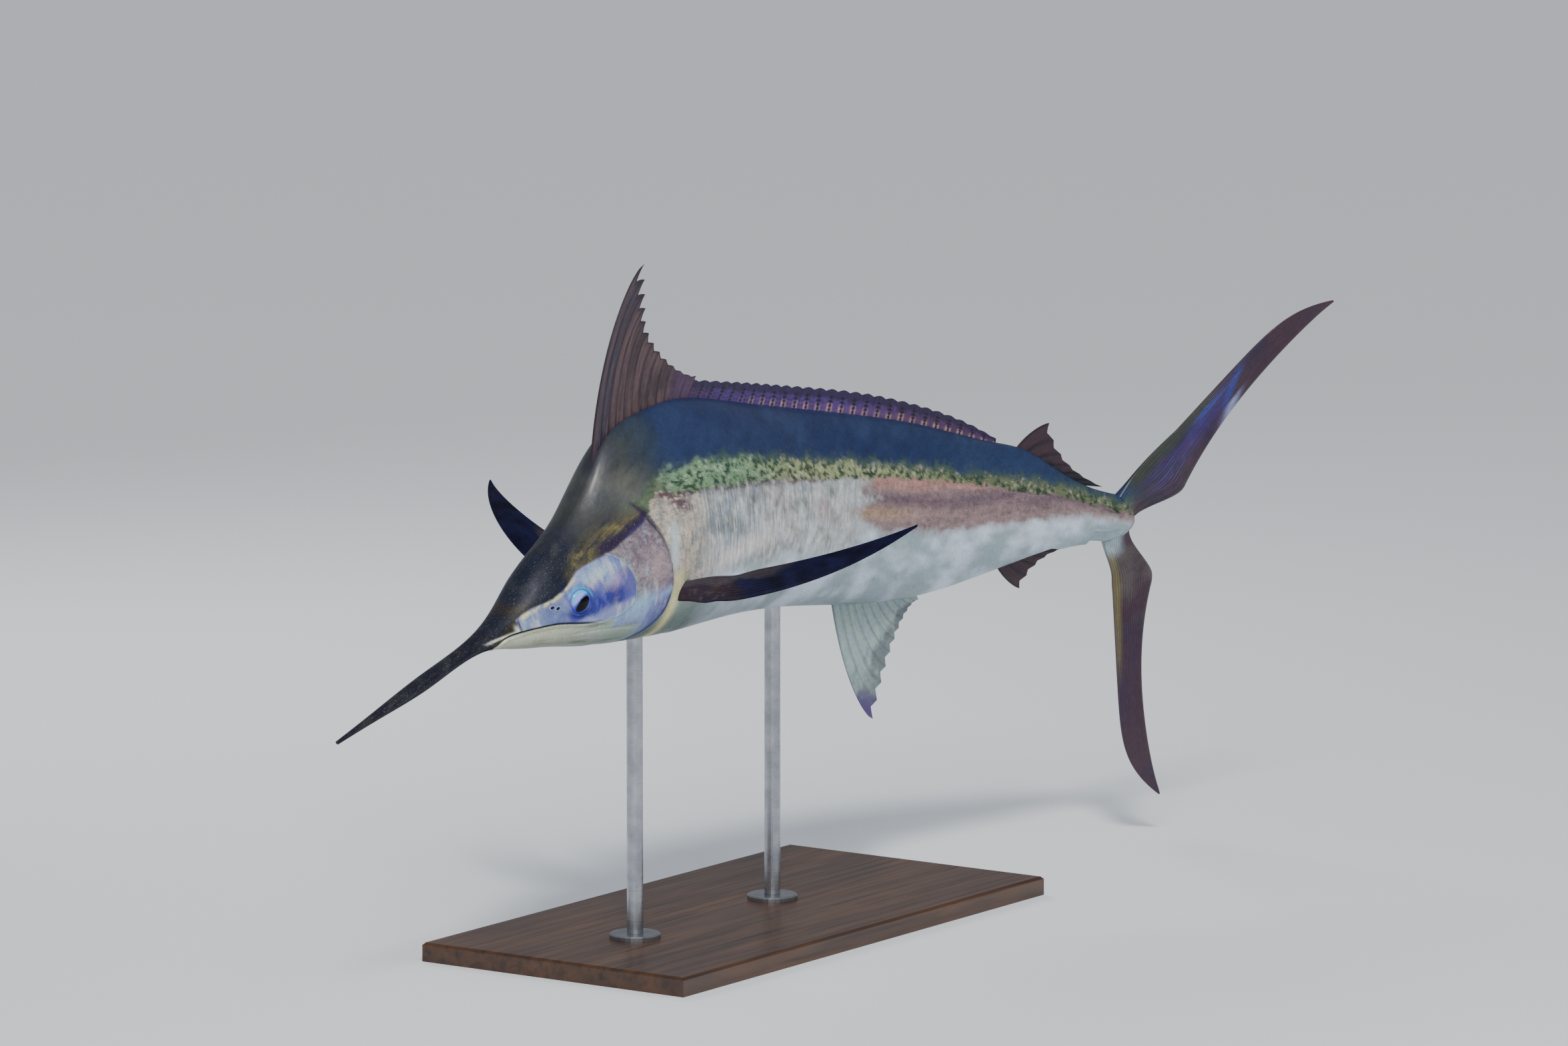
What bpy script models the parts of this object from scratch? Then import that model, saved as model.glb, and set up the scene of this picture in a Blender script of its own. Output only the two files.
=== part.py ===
"""Blue marlin, a still life-size model of a leaping fish on a plain display stand.

The body is laid out along a bent centre line. A place on the fish is given by the station s, which
runs from the tip of the lower jaw (0) to just short of the fork of the tail (1), by the offset y to
the fish's left and by the height z, all in units of UNIT metres.
"""
import math

import bmesh
import bpy
import numpy as np

# Driving sizes in metres
FORK_LENGTH = 2.50
FORK_STATION = 1.036
UNIT = FORK_LENGTH / FORK_STATION
GAP = 0.0003
ROOT_GAP = 0.0004
PELVIC_GAP = 0.0011
AXIS_HEIGHT = 0.98
BODY_SHIFT_X = 0.05

# Bend of the centre line: yaw, pitch and roll in degrees at stations along the fish
BEND_STATIONS = (-0.05, 0.22, 0.45, 0.68, 0.88, 1.0)
BEND_YAW = (-8.1, 1.3, 0.0, -12.0, -15.5, -19.9)
BEND_PITCH = (-20.3, -9.5, 3.5, 6.9, 6.9, 15.6)
BEND_ROLL = (-6.4, -3.3, -1.6, -3.3, -5.5, -15.0)
MID_STATION = 0.45

# Outline of the body in side and top view
OUTLINE_STATIONS = (-0.205, -0.15, -0.08, 0.0, 0.04, 0.08, 0.12, 0.16, 0.20, 0.25, 0.30,
                    0.40, 0.50, 0.60, 0.70, 0.80, 0.835, 0.88, 0.94, 0.975, 1.0)
TOP_HEIGHT = (0.0016, 0.0040, 0.0068, 0.0105, 0.0214, 0.0432, 0.0592, 0.0830, 0.1207, 0.1323, 0.1320,
              0.1150, 0.1020, 0.0955, 0.0865, 0.0702, 0.0640, 0.0445, 0.0262, 0.0245, 0.0250)
BOTTOM_DEPTH = (0.0016, 0.0040, 0.0066, 0.0088, 0.0256, 0.0411, 0.0565, 0.0692, 0.0786, 0.0877, 0.0923,
                0.0938, 0.0934, 0.0929, 0.0850, 0.0610, 0.0513, 0.0389, 0.0258, 0.0245, 0.0250)
HALF_WIDTH = (0.0020, 0.0048, 0.0085, 0.0125, 0.0230, 0.0350, 0.0450, 0.0520, 0.0570, 0.0610, 0.0620,
              0.0610, 0.0570, 0.0510, 0.0410, 0.0290, 0.0247, 0.0195, 0.0130, 0.0085, 0.0055)
POWER_STATIONS = (-0.205, 0.02, 0.10, 0.20, 0.30, 0.50, 0.70, 0.85, 0.95, 1.0)
TOP_POWER = (2.0, 2.05, 1.65, 1.50, 1.80, 1.90, 1.85, 1.80, 1.90, 2.0)
BOTTOM_POWER = (2.0, 2.0, 1.95, 2.05, 2.15, 2.10, 2.00, 1.90, 1.90, 2.0)
CREST_HALF = 0.0022
BILL_CREST_HALF = 0.0003

# Mouth, gill cover and body cuts
MOUTH_STATIONS = (0.0, 0.006, 0.0135, 0.029, 0.044, 0.060, 0.077, 0.093, 0.1165, 0.135)
MOUTH_HEIGHT = (-0.0105, -0.0055, -0.0016, -0.0010, -0.0029, -0.0057, -0.0097, -0.0158, -0.0238, -0.0290)
JAW_START = 0.0045
JAW_END = 0.134
JAW_STEP = 0.0004
LIP_HEIGHT = 0.0024
LIP_INSET = 0.0012
BILL_END = 0.036
HEAD_STATIONS = (0.050, 0.065, 0.080, 0.092, 0.104, 0.118)
WARP_START = 0.15
COVER_HEIGHTS = (-1.0, -0.65, -0.41, 0.0, 0.26, 0.50, 1.0)
COVER_STATIONS = (0.176, 0.2136, 0.2225, 0.2227, 0.2147, 0.2000, 0.1690)
COVER_CENTRE = 0.205
COVER_STEP = 0.0018
TORSO_CUTS = (0.42, 0.60, 0.80)
STALK_STATIONS = (0.822, 0.842, 0.858, 0.871, 0.882, 0.892, 0.902, 0.912, 0.923, 0.937)
STALK_TOP_END = 0.962
STALK_MIDDLE_END = 0.985
SIDE_POINTS = 23
UPPER_POINTS = 13

# Eyes and nostrils
EYE_STATION = 0.101
EYE_HEIGHT = 0.004
EYE_RADIUS = 0.0128
EYE_DEPTH_RADIUS = 0.0075
EYE_SINK = 0.0042
NOSTRILS = ((0.0702, 0.0096), (0.0755, 0.0069))
NOSTRIL_SIZE = (0.0024, 0.0016, 0.0014)

# Fins
RIDGE = 0.0008
LOBE_BASE = (0.1830, 0.3350)
LOBE_TIP = (0.2760, 0.2730)
LOBE_RAYS = 13
LOBE_BOW = 0.058
LOBE_HEEL = 0.0195
LOW_CUTS = (0.3354, 0.5000, 0.6500, 0.7950)
LOW_RAYS = (10, 9, 9)
LOW_STATIONS = (0.30, 0.34, 0.40, 0.50, 0.60, 0.69, 0.77, 0.80)
LOW_HEIGHT = (0.0190, 0.0182, 0.0203, 0.0225, 0.0230, 0.0190, 0.0110, 0.0035)
LOW_SLANT_FRONT = 0.85
LOW_SLANT_REAR = 0.20
SECOND_BASE = (0.826, 0.915)
SECOND_RAYS = 7
ANAL_BASE = (0.597, 0.712)
ANAL_RAYS = 12
SECOND_ANAL_BASE = (0.818, 0.897)
TAIL_TIP = 0.273
TAIL_SWEEP = 0.125
TAIL_RAYS = 9
LOWER_SWEEP = 1.20
LOWER_SHIFT = (0.014, -0.011)
PECTORAL_STATION = 0.2420
PECTORAL_HEIGHT = -0.0365
PECTORAL_CHORD = 0.0495
PECTORAL_ROOT = 0.0194
PECTORAL_ROOT_TURN = -63.0
PECTORAL_ROOT_SHIFT = (-0.0011, 0.0030)
PECTORAL_RAYS = 8
PECTORAL_REACH = {"left": (0.196, 0.110, 0.065), "right": (0.192, 0.125, 0.050)}
PECTORAL_SAG = {"left": (0.015, -0.016), "right": (-0.009, 0.037)}
PECTORAL_TWIST = {"left": (-16.0, -48.0), "right": (-18.0, -13.0)}
PELVIC_SPAN = (0.290, 0.448)
GROOVE_SPAN = (0.262, 0.472)
GROOVE_HALF = 0.0050
GROOVE_DEPTH = 0.0030
KEEL_SPAN = (0.938, 0.974)
KEEL_HEIGHT = 0.0045

# Stand in metres
BASE_LENGTH = 1.50
BASE_WIDTH = 0.74
BASE_THICK = 0.045
BASE_CHAMFER = 0.006
ROD_RADIUS = 0.019
ROD_STATIONS = {"front": 0.240, "rear": 0.500}
ROD_SINK = 0.055
FOOT_RADIUS = 0.060
FOOT_THICK = 0.012

# Colours of the nodes
BACK = (0.028, 0.045, 0.085)
FLANK = (0.36, 0.42, 0.44)
BELLY = (0.52, 0.56, 0.55)
FIN_BROWN = (0.055, 0.035, 0.045)
FIN_VIOLET = (0.075, 0.055, 0.13)
FIN_NAVY = (0.018, 0.018, 0.045)
FIN_PALE = (0.36, 0.40, 0.42)
EYE_BLACK = (0.010, 0.012, 0.020)
STAND_WOOD = (0.050, 0.030, 0.020)
STAND_STEEL = (0.45, 0.46, 0.48)


def natural_spline(xs, ys):
    """Smooth curve through the given points."""
    x = np.asarray(xs, float)
    y = np.asarray(ys, float)
    n = len(x)
    step = np.diff(x)
    rows = np.zeros((n, n))
    right = np.zeros(n)
    rows[0, 0] = 1.0
    rows[-1, -1] = 1.0
    for i in range(1, n - 1):
        rows[i, i - 1] = step[i - 1]
        rows[i, i] = 2.0 * (step[i - 1] + step[i])
        rows[i, i + 1] = step[i]
        right[i] = 6.0 * ((y[i + 1] - y[i]) / step[i] - (y[i] - y[i - 1]) / step[i - 1])
    curve = np.linalg.solve(rows, right)

    def value(at):
        a = np.clip(np.asarray(at, float), x[0], x[-1])
        k = np.clip(np.searchsorted(x, a) - 1, 0, n - 2)
        h = step[k]
        p = (x[k + 1] - a) / h
        q = (a - x[k]) / h
        bend = ((p ** 3 - p) * curve[k] + (q ** 3 - q) * curve[k + 1]) * h * h / 6.0
        return p * y[k] + q * y[k + 1] + bend

    return value


top_height = natural_spline(OUTLINE_STATIONS, TOP_HEIGHT)
bottom_depth = natural_spline(OUTLINE_STATIONS, BOTTOM_DEPTH)
half_width = natural_spline(OUTLINE_STATIONS, HALF_WIDTH)
top_power = natural_spline(POWER_STATIONS, TOP_POWER)
bottom_power = natural_spline(POWER_STATIONS, BOTTOM_POWER)
mouth_height = natural_spline(MOUTH_STATIONS, MOUTH_HEIGHT)
cover_station = natural_spline(COVER_HEIGHTS, COVER_STATIONS)
low_height = natural_spline(LOW_STATIONS, LOW_HEIGHT)


def smooth_step(a):
    """Ramp from 0 to 1 with level ends."""
    t = np.clip(a, 0.0, 1.0)
    return t * t * (3.0 - 2.0 * t)


def make_centre_line():
    """Stations with the place and the three directions of the bent centre line."""
    s = np.linspace(-0.22, 1.16, 553)
    held = np.clip(s, BEND_STATIONS[0], BEND_STATIONS[-1])
    yaw = np.radians(natural_spline(BEND_STATIONS, BEND_YAW)(held))
    pitch = np.radians(natural_spline(BEND_STATIONS, BEND_PITCH)(held))
    roll = np.radians(natural_spline(BEND_STATIONS, BEND_ROLL)(held))
    cos_p = np.cos(pitch)
    fore = np.stack([-np.cos(yaw) * cos_p, -np.sin(yaw) * cos_p, np.sin(pitch)], -1)
    level = np.stack([np.sin(yaw), -np.cos(yaw), 0.0 * yaw], -1)
    over = np.cross(fore, level)
    left = level * np.cos(roll)[:, None] + over * np.sin(roll)[:, None]
    up = over * np.cos(roll)[:, None] - level * np.sin(roll)[:, None]
    step = s[1] - s[0]
    place_ = np.vstack([np.zeros(3), np.cumsum(-(fore[1:] + fore[:-1]) / 2.0 * step, axis=0)])
    middle = int(np.argmin(np.abs(s - MID_STATION)))
    place_ = place_ - place_[middle]
    return s, place_, fore, left, up


LINE_S, LINE_P, LINE_F, LINE_L, LINE_U = make_centre_line()


def along(table, s):
    """Values of a centre line table at stations s."""
    return np.stack([np.interp(s, LINE_S, table[:, k]) for k in range(3)], -1)


def place(s, y, z):
    """World places in metres of body places."""
    s = np.asarray(s, float)
    y = np.asarray(y, float)
    z = np.asarray(z, float)
    spot = along(LINE_P, s) + along(LINE_L, s) * y[..., None] + along(LINE_U, s) * z[..., None]
    return spot * UNIT + np.array([BODY_SHIFT_X, 0.0, AXIS_HEIGHT])


def crest_half(s):
    """Half width of the flat line along the back and the belly."""
    return BILL_CREST_HALF + (CREST_HALF - BILL_CREST_HALF) * smooth_step((np.asarray(s) - 0.02) / 0.12)


def belly_half(s):
    """Half width of the flat line under the belly, wider where the pelvic fins lie."""
    rise = smooth_step((np.asarray(s) - GROOVE_SPAN[0]) / 0.012)
    fall = smooth_step((GROOVE_SPAN[1] - np.asarray(s)) / 0.012)
    return crest_half(s) + (GROOVE_HALF - CREST_HALF) * rise * fall


def groove_depth(s):
    """Depth of the groove under the belly that takes the folded pelvic fins."""
    rise = smooth_step((np.asarray(s) - GROOVE_SPAN[0]) / 0.012)
    fall = smooth_step((GROOVE_SPAN[1] - np.asarray(s)) / 0.012)
    return GROOVE_DEPTH * rise * fall


def side_point(s, angle):
    """Offset and height of the skin on the left side; angle 90 is the back, -90 the belly."""
    s = np.asarray(s, float)
    a = np.radians(angle)
    over = angle >= 0.0
    power = np.where(over, top_power(s), bottom_power(s))
    reach = np.where(over, top_height(s), bottom_depth(s))
    flat = np.where(over, crest_half(s), belly_half(s))
    wide = half_width(s)
    cos_a = np.clip(np.cos(a), 0.0, 1.0)
    sin_a = np.clip(np.abs(np.sin(a)), 0.0, 1.0)
    y = flat + (wide - flat) * cos_a ** (2.0 / power)
    z = np.sign(angle) * reach * sin_a ** (2.0 / power)
    return y, z


def surface_offset(s, z):
    """Offset of the skin at station s and height z."""
    s = np.asarray(s, float)
    z = np.asarray(z, float)
    over = z >= 0.0
    power = np.where(over, top_power(s), bottom_power(s))
    reach = np.where(over, top_height(s), bottom_depth(s))
    flat = np.where(over, crest_half(s), belly_half(s))
    share = np.clip(np.abs(z) / reach, 0.0, 1.0)
    return flat + (half_width(s) - flat) * (1.0 - share ** power) ** (1.0 / power)


def angle_at(s, z):
    """Angle of the section at which the skin has height z."""
    over = z >= 0.0
    power = top_power(s) if over else bottom_power(s)
    reach = top_height(s) if over else bottom_depth(s)
    share = min(abs(z) / float(reach), 1.0)
    angle = math.degrees(math.asin(share ** (float(power) / 2.0)))
    return angle if over else -angle


def full_ring(left, s_top, s_bottom):
    """Closed loop of body places from the left side's places, back to belly."""
    s, y, z = left
    low = float(z[-1]) + float(groove_depth(s_bottom))
    inner = float(y[-1]) * 0.86
    loop = [(s_top, 0.0, z[0])]
    loop += [(s[i], y[i], z[i]) for i in range(len(s))]
    loop += [(s_bottom, inner, low), (s_bottom, 0.0, low), (s_bottom, -inner, low)]
    loop += [(s[i], -y[i], z[i]) for i in range(len(s) - 1, -1, -1)]
    return np.array(loop, float)


def plain_ring(s, points=SIDE_POINTS):
    """Full section at one station."""
    angle = np.linspace(90.0, -90.0, points)
    where = np.full(points, float(s))
    y, z = side_point(where, angle)
    return full_ring((where, y, z), s, s)


def head_angles(s):
    """Angles of the left side's places on the head, with the line of the mouth at a fixed place."""
    line = float(mouth_height(min(s, MOUTH_STATIONS[-1])))
    lip = angle_at(s, line + LIP_HEIGHT)
    mouth = angle_at(s, line)
    chin = angle_at(s, line - LIP_HEIGHT)
    above = np.linspace(90.0, lip, UPPER_POINTS - 1)
    below = np.linspace(chin, -90.0, SIDE_POINTS - UPPER_POINTS)
    return np.concatenate([above, [mouth], below])


def upper_ring(s, points=SIDE_POINTS, upper=UPPER_POINTS):
    """Section above the line of the mouth, closed by a flat palate."""
    line = float(mouth_height(s))
    height = line + GAP / UNIT / 2.0
    low = -float(bottom_depth(s))
    if line - LIP_HEIGHT < low:
        height = max(height, low + 1e-5)
    lip = angle_at(s, min(line + LIP_HEIGHT, 0.0))
    above = np.linspace(90.0, lip, upper - 1)
    where = np.full(upper - 1, float(s))
    y, z = side_point(where, above)
    edge = max(float(surface_offset(s, max(height, low * 0.97))) - LIP_INSET, 0.001)
    count = points - upper
    shares = np.linspace(1.0, 0.25, count + 1)
    y = np.concatenate([y, edge * shares])
    z = np.concatenate([z, np.full(count + 1, height)])
    where = np.full(points, float(s))
    loop = [(s, 0.0, z[0])]
    loop += [(s, y[i], z[i]) for i in range(points)]
    loop += [(s, edge * 0.16, height), (s, 0.0, height), (s, -edge * 0.16, height)]
    loop += [(s, -y[i], z[i]) for i in range(points - 1, -1, -1)]
    return np.array(loop, float)


def head_ring(s):
    """Full section behind the mouth with the head's spacing."""
    angle = head_angles(s)
    where = np.full(SIDE_POINTS, float(s))
    y, z = side_point(where, angle)
    fade = 1.0 - smooth_step((s - JAW_END) / 0.012)
    y[UPPER_POINTS - 1] -= LIP_INSET * float(fade)
    return full_ring((where, y, z), s, s)


COVER_ANGLES = np.linspace(90.0, -90.0, SIDE_POINTS)


def cover_edge(angle):
    """Station of the gill cover's rear edge for an angle of the section."""
    share = np.sign(angle) * np.abs(np.sin(np.radians(angle))) ** (2.0 / 1.85)
    return cover_station(share)


def warped_ring(start, start_angles, share, shift=0.0):
    """Section part of the way from a station to the rear edge of the gill cover."""
    angle = start_angles + (COVER_ANGLES - start_angles) * share
    where = start + (cover_edge(COVER_ANGLES) + shift - start) * share
    y, z = side_point(where, angle)
    return full_ring((where, y, z), where[0], where[-1])


def add_material(name, colour, rough=0.35, metal=0.0):
    """Plain surface for one node."""
    surface = bpy.data.materials.new(name)
    surface.use_nodes = True
    shader = surface.node_tree.nodes["Principled BSDF"]
    shader.inputs["Base Color"].default_value = (*colour, 1.0)
    shader.inputs["Roughness"].default_value = rough
    shader.inputs["Metallic"].default_value = metal
    surface.diffuse_color = (*colour, 1.0)
    return surface


def add_object(name, points, faces, colour, rough=0.35, metal=0.0, smooth=True):
    """Object with faces out and its own material."""
    mesh = bpy.data.meshes.new(name)
    mesh.from_pydata([tuple(float(c) for c in p) for p in points], [], faces)
    body = bmesh.new()
    body.from_mesh(mesh)
    bmesh.ops.recalc_face_normals(body, faces=body.faces)
    body.to_mesh(mesh)
    body.free()
    mesh.materials.append(add_material(name, colour, rough, metal))
    if smooth:
        mesh.shade_smooth()
        mesh.set_sharp_from_angle(angle=math.radians(38.0))
    item = bpy.data.objects.new(name, mesh)
    bpy.context.scene.collection.objects.link(item)
    return item


def add_loft(name, rings, colour, start_centre=None, end_centre=None, rough=0.35):
    """Closed body through rings of body places, with a fan at each end."""
    count = len(rings[0])
    points = [p for ring in rings for p in place(ring[:, 0], ring[:, 1], ring[:, 2])]
    faces = []
    for r in range(len(rings) - 1):
        for i in range(count):
            j = (i + 1) % count
            faces.append((r * count + i, r * count + j, (r + 1) * count + j, (r + 1) * count + i))
    ends = ((0, rings[0], start_centre), ((len(rings) - 1) * count, rings[-1], end_centre))
    for offset, ring, centre in ends:
        if centre is None:
            centre = ring.mean(axis=0)
            centre[1] = 0.0
        points.append(place(centre[0], centre[1], centre[2]))
        hub = len(points) - 1
        for i in range(count):
            faces.append((offset + i, offset + (i + 1) % count, hub))
    return add_object(name, points, faces, colour, rough)


def add_slab(name, front, back, colour, nose=None, rough=0.4):
    """Closed thin body between two grids of world places, both split alike."""
    rows, columns = front.shape[:2]
    points = list(front.reshape(-1, 3)) + list(back.reshape(-1, 3))
    offset = rows * columns

    def at(r, c, side=0):
        return side * offset + r * columns + c

    faces = []
    for r in range(rows - 1):
        for c in range(columns - 1):
            for side in (0, 1):
                a = at(r, c, side)
                b = at(r, c + 1, side)
                d = at(r + 1, c, side)
                e = at(r + 1, c + 1, side)
                if (c * 2) // max(columns - 1, 1) == 0:
                    faces += [(a, b, e), (a, e, d)]
                else:
                    faces += [(a, b, d), (b, e, d)]
    for c in range(columns - 1):
        faces.append((at(0, c), at(0, c + 1), at(0, c + 1, 1), at(0, c, 1)))
        faces.append((at(rows - 1, c), at(rows - 1, c + 1), at(rows - 1, c + 1, 1), at(rows - 1, c, 1)))
    for r in range(rows - 1):
        last = columns - 1
        faces.append((at(r, last), at(r + 1, last), at(r + 1, last, 1), at(r, last, 1)))
    if nose is None:
        for r in range(rows - 1):
            faces.append((at(r, 0), at(r + 1, 0), at(r + 1, 0, 1), at(r, 0, 1)))
    else:
        hub = len(points)
        points += list(nose)
        for r in range(rows - 1):
            faces.append((at(r, 0), at(r + 1, 0), hub + r + 1, hub + r))
            faces.append((hub + r, hub + r + 1, at(r + 1, 0, 1), at(r, 0, 1)))
        faces.append((at(0, 0), hub, at(0, 0, 1)))
        faces.append((at(rows - 1, 0), hub + rows - 1, at(rows - 1, 0, 1)))
    return add_object(name, points, faces, colour, rough)


def ray_columns(rays):
    """Places of the columns along a fin's base, with how far each is on a ray or on the membrane."""
    spots = []
    step = 1.0 / (rays - 1)
    for i in range(rays):
        middle = i * step
        side = step * 0.20
        if RIDGE > 0.0 and i > 0:
            spots.append((middle - side, 0.0, 0.0))
        spots.append((middle, 1.0, 0.0))
        if RIDGE > 0.0 and i < rays - 1:
            spots.append((middle + side, 0.0, 0.0))
        if i < rays - 1:
            spots.append((middle + step * 0.5, 0.0, 1.0))
    return spots


def median_fin(name, base, tip, bow, rays, rows, root_half, edge_half, colour, notch=0.0,
               lower=False, round_front=True, shifts=None):
    """Fin on the middle line. base and tip give body places (s, z) for a share along the fin."""
    spots = ray_columns(rays)
    side = -1.0 if lower else 1.0
    mid = np.zeros((len(rows), len(spots), 2))
    half = np.zeros((len(rows), len(spots)))
    for c, (share, ridge, web) in enumerate(spots):
        root = np.array(base(share))
        end = np.array(tip(share))
        reach = 1.0 - notch * web
        for r, u in enumerate(rows):
            v = u * reach
            spot = root + (end - root) * v
            spot[0] -= bow(share) * v * max(1.0 - v, 0.0) ** 0.55
            mid[r, c] = spot
            thick = root_half(share) * (1.0 - v) ** 1.2 + edge_half
            fade = 1.0 - 0.6 * v
            half[r, c] = thick + RIDGE * ridge * fade
    s = mid[:, :, 0]
    z = mid[:, :, 1] * side
    front = place(s, half, z)
    back = place(s, -half, z)
    nose = None
    if round_front:
        edge = mid[:, 0].copy()
        step = np.gradient(edge, axis=0)
        out = np.stack([-step[:, 1], step[:, 0]], -1)
        out /= np.linalg.norm(out, axis=1)[:, None] + 1e-12
        push = edge + out * (half[:, 0] * 0.9)[:, None]
        push[0] = edge[0] + np.array([-half[0, 0] * 0.9, 0.0])
        push[0, 1] = base_line(push[0, 0], lower) + ROOT_GAP / UNIT
        nose = place(push[:, 0], 0.0 * push[:, 0], push[:, 1] * side)
    return add_slab(name, front, back, colour, nose)


def base_line(s, lower=False):
    """Height of the back, or depth of the belly, on the middle line."""
    return float(bottom_depth(s)) if lower else float(top_height(s))


def on_back(s, lower=False):
    """Foot of a fin at station s."""
    return (s, base_line(s, lower) + ROOT_GAP / UNIT)


def lobe_edge(z):
    """Station of the rear edge of the first dorsal fin's lobe at height z."""
    fall = np.clip((0.218 - z) / 0.079, 0.0, 1.2)
    return LOBE_TIP[0] - 0.001 + 0.066 * fall ** 1.6


def lobe_tip(share):
    """End of a ray of the first dorsal fin's lobe."""
    foot = base_line(LOBE_BASE[1]) + float(low_height(LOBE_BASE[1]))
    z = foot + (LOBE_TIP[1] - foot) * (1.0 - share) ** 1.45
    return (float(lobe_edge(z)) + LOBE_HEEL * share ** 6, z)


def low_slant(s):
    """Lean of the rays of the low part, less toward the tail."""
    fade = float(smooth_step((s - 0.36) / 0.16))
    return LOW_SLANT_FRONT + (LOW_SLANT_REAR - LOW_SLANT_FRONT) * fade


def build_first_dorsal():
    """Tall front lobe and three lengths of the low part."""
    rows = (0.0, 0.18, 0.38, 0.58, 0.76, 0.90, 1.0)
    start, end = LOBE_BASE
    median_fin("first_dorsal_lobe", lambda w: on_back(start + (end - start) * w), lobe_tip,
               lambda w: LOBE_BOW * (1.0 - w) ** 1.5, LOBE_RAYS, rows,
               lambda w: 0.0016 - 0.0005 * w, 0.00040, FIN_BROWN, notch=0.035)
    names = ("first_dorsal_front_length", "first_dorsal_middle_length", "first_dorsal_rear_length")
    for k, name in enumerate(names):
        first = LOW_CUTS[k] + (0.5 * ROOT_GAP / UNIT if k else 0.0)
        last = LOW_CUTS[k + 1] - 0.5 * ROOT_GAP / UNIT

        def base(w, a=first, b=last):
            return on_back(a + (b - a) * w)

        def tip(w, a=first, b=last):
            s = a + (b - a) * w
            high = float(low_height(s))
            ahead = s + low_slant(s) * high
            return (ahead, base_line(ahead) + high * 0.96)

        median_fin(name, base, tip, lambda w: 0.0, LOW_RAYS[k], (0.0, 0.45, 0.8, 1.0),
                   lambda w: 0.0011, 0.00040, FIN_VIOLET, notch=0.10, round_front=False)


def build_small_fins():
    """Second dorsal fin and the two anal fins."""

    def falcate(start, end, tip_s, height, lobe_s, lobe_height, fall, lower):
        foot = base_line(tip_s, lower)

        def tip(w):
            s = tip_s + (lobe_s - tip_s) * w ** 1.25
            high = lobe_height + (height - lobe_height) * (1.0 - w) ** fall
            return (s, (1.0 - w) * foot + w * base_line(lobe_s, lower) + high)

        def base(w):
            return on_back(start + (end - start) * w, lower)

        return base, tip

    base, tip = falcate(SECOND_BASE[0], SECOND_BASE[1], 0.8640, 0.0390, 0.9420, 0.0045, 2.6, False)
    median_fin("second_dorsal_fin", base, tip, lambda w: 0.017 * (1.0 - w), SECOND_RAYS,
               (0.0, 0.4, 0.75, 1.0), lambda w: 0.0012, 0.00035, FIN_BROWN, notch=0.05)
    base, tip = falcate(SECOND_ANAL_BASE[0], SECOND_ANAL_BASE[1], 0.8550, 0.0320, 0.9250, 0.0045, 2.6, True)
    median_fin("second_anal_fin", base, tip, lambda w: 0.012 * (1.0 - w), SECOND_RAYS,
               (0.0, 0.4, 0.75, 1.0), lambda w: 0.0012, 0.00035, FIN_BROWN, notch=0.05, lower=True)
    base, tip = falcate(ANAL_BASE[0], ANAL_BASE[1], 0.6780, 0.1200, 0.7180, 0.0060, 1.9, True)
    median_fin("first_anal_fin", base, tip, lambda w: 0.034 * (1.0 - w), ANAL_RAYS,
               (0.0, 0.25, 0.50, 0.76, 1.0), lambda w: 0.0016, 0.00040, FIN_PALE, notch=0.03,
               lower=True)


def stalk_end(share):
    """Station of the rear end of the tail stalk at a share of its height."""
    return STALK_TOP_END + (STALK_MIDDLE_END - STALK_TOP_END) * (1.0 - np.abs(share) ** 1.8)


def tail_lead(q):
    """Front edge of a tail lobe, foot to tip."""
    s = STALK_TOP_END - 0.001 + TAIL_SWEEP * q + 0.040 * q ** 12
    z = 0.0252 + (TAIL_TIP - 0.0252) * q
    return np.array([s, z])


def tail_trail(q):
    """Rear edge of a tail lobe, fork to tip."""
    s = FORK_STATION + 0.087 * q ** 1.6 - 0.009 * math.sin(math.pi * q) + 0.0045 * q ** 20
    z = GAP / UNIT + TAIL_TIP * (0.985 * q + 0.010 * q ** 20)
    return np.array([s, z])


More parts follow.
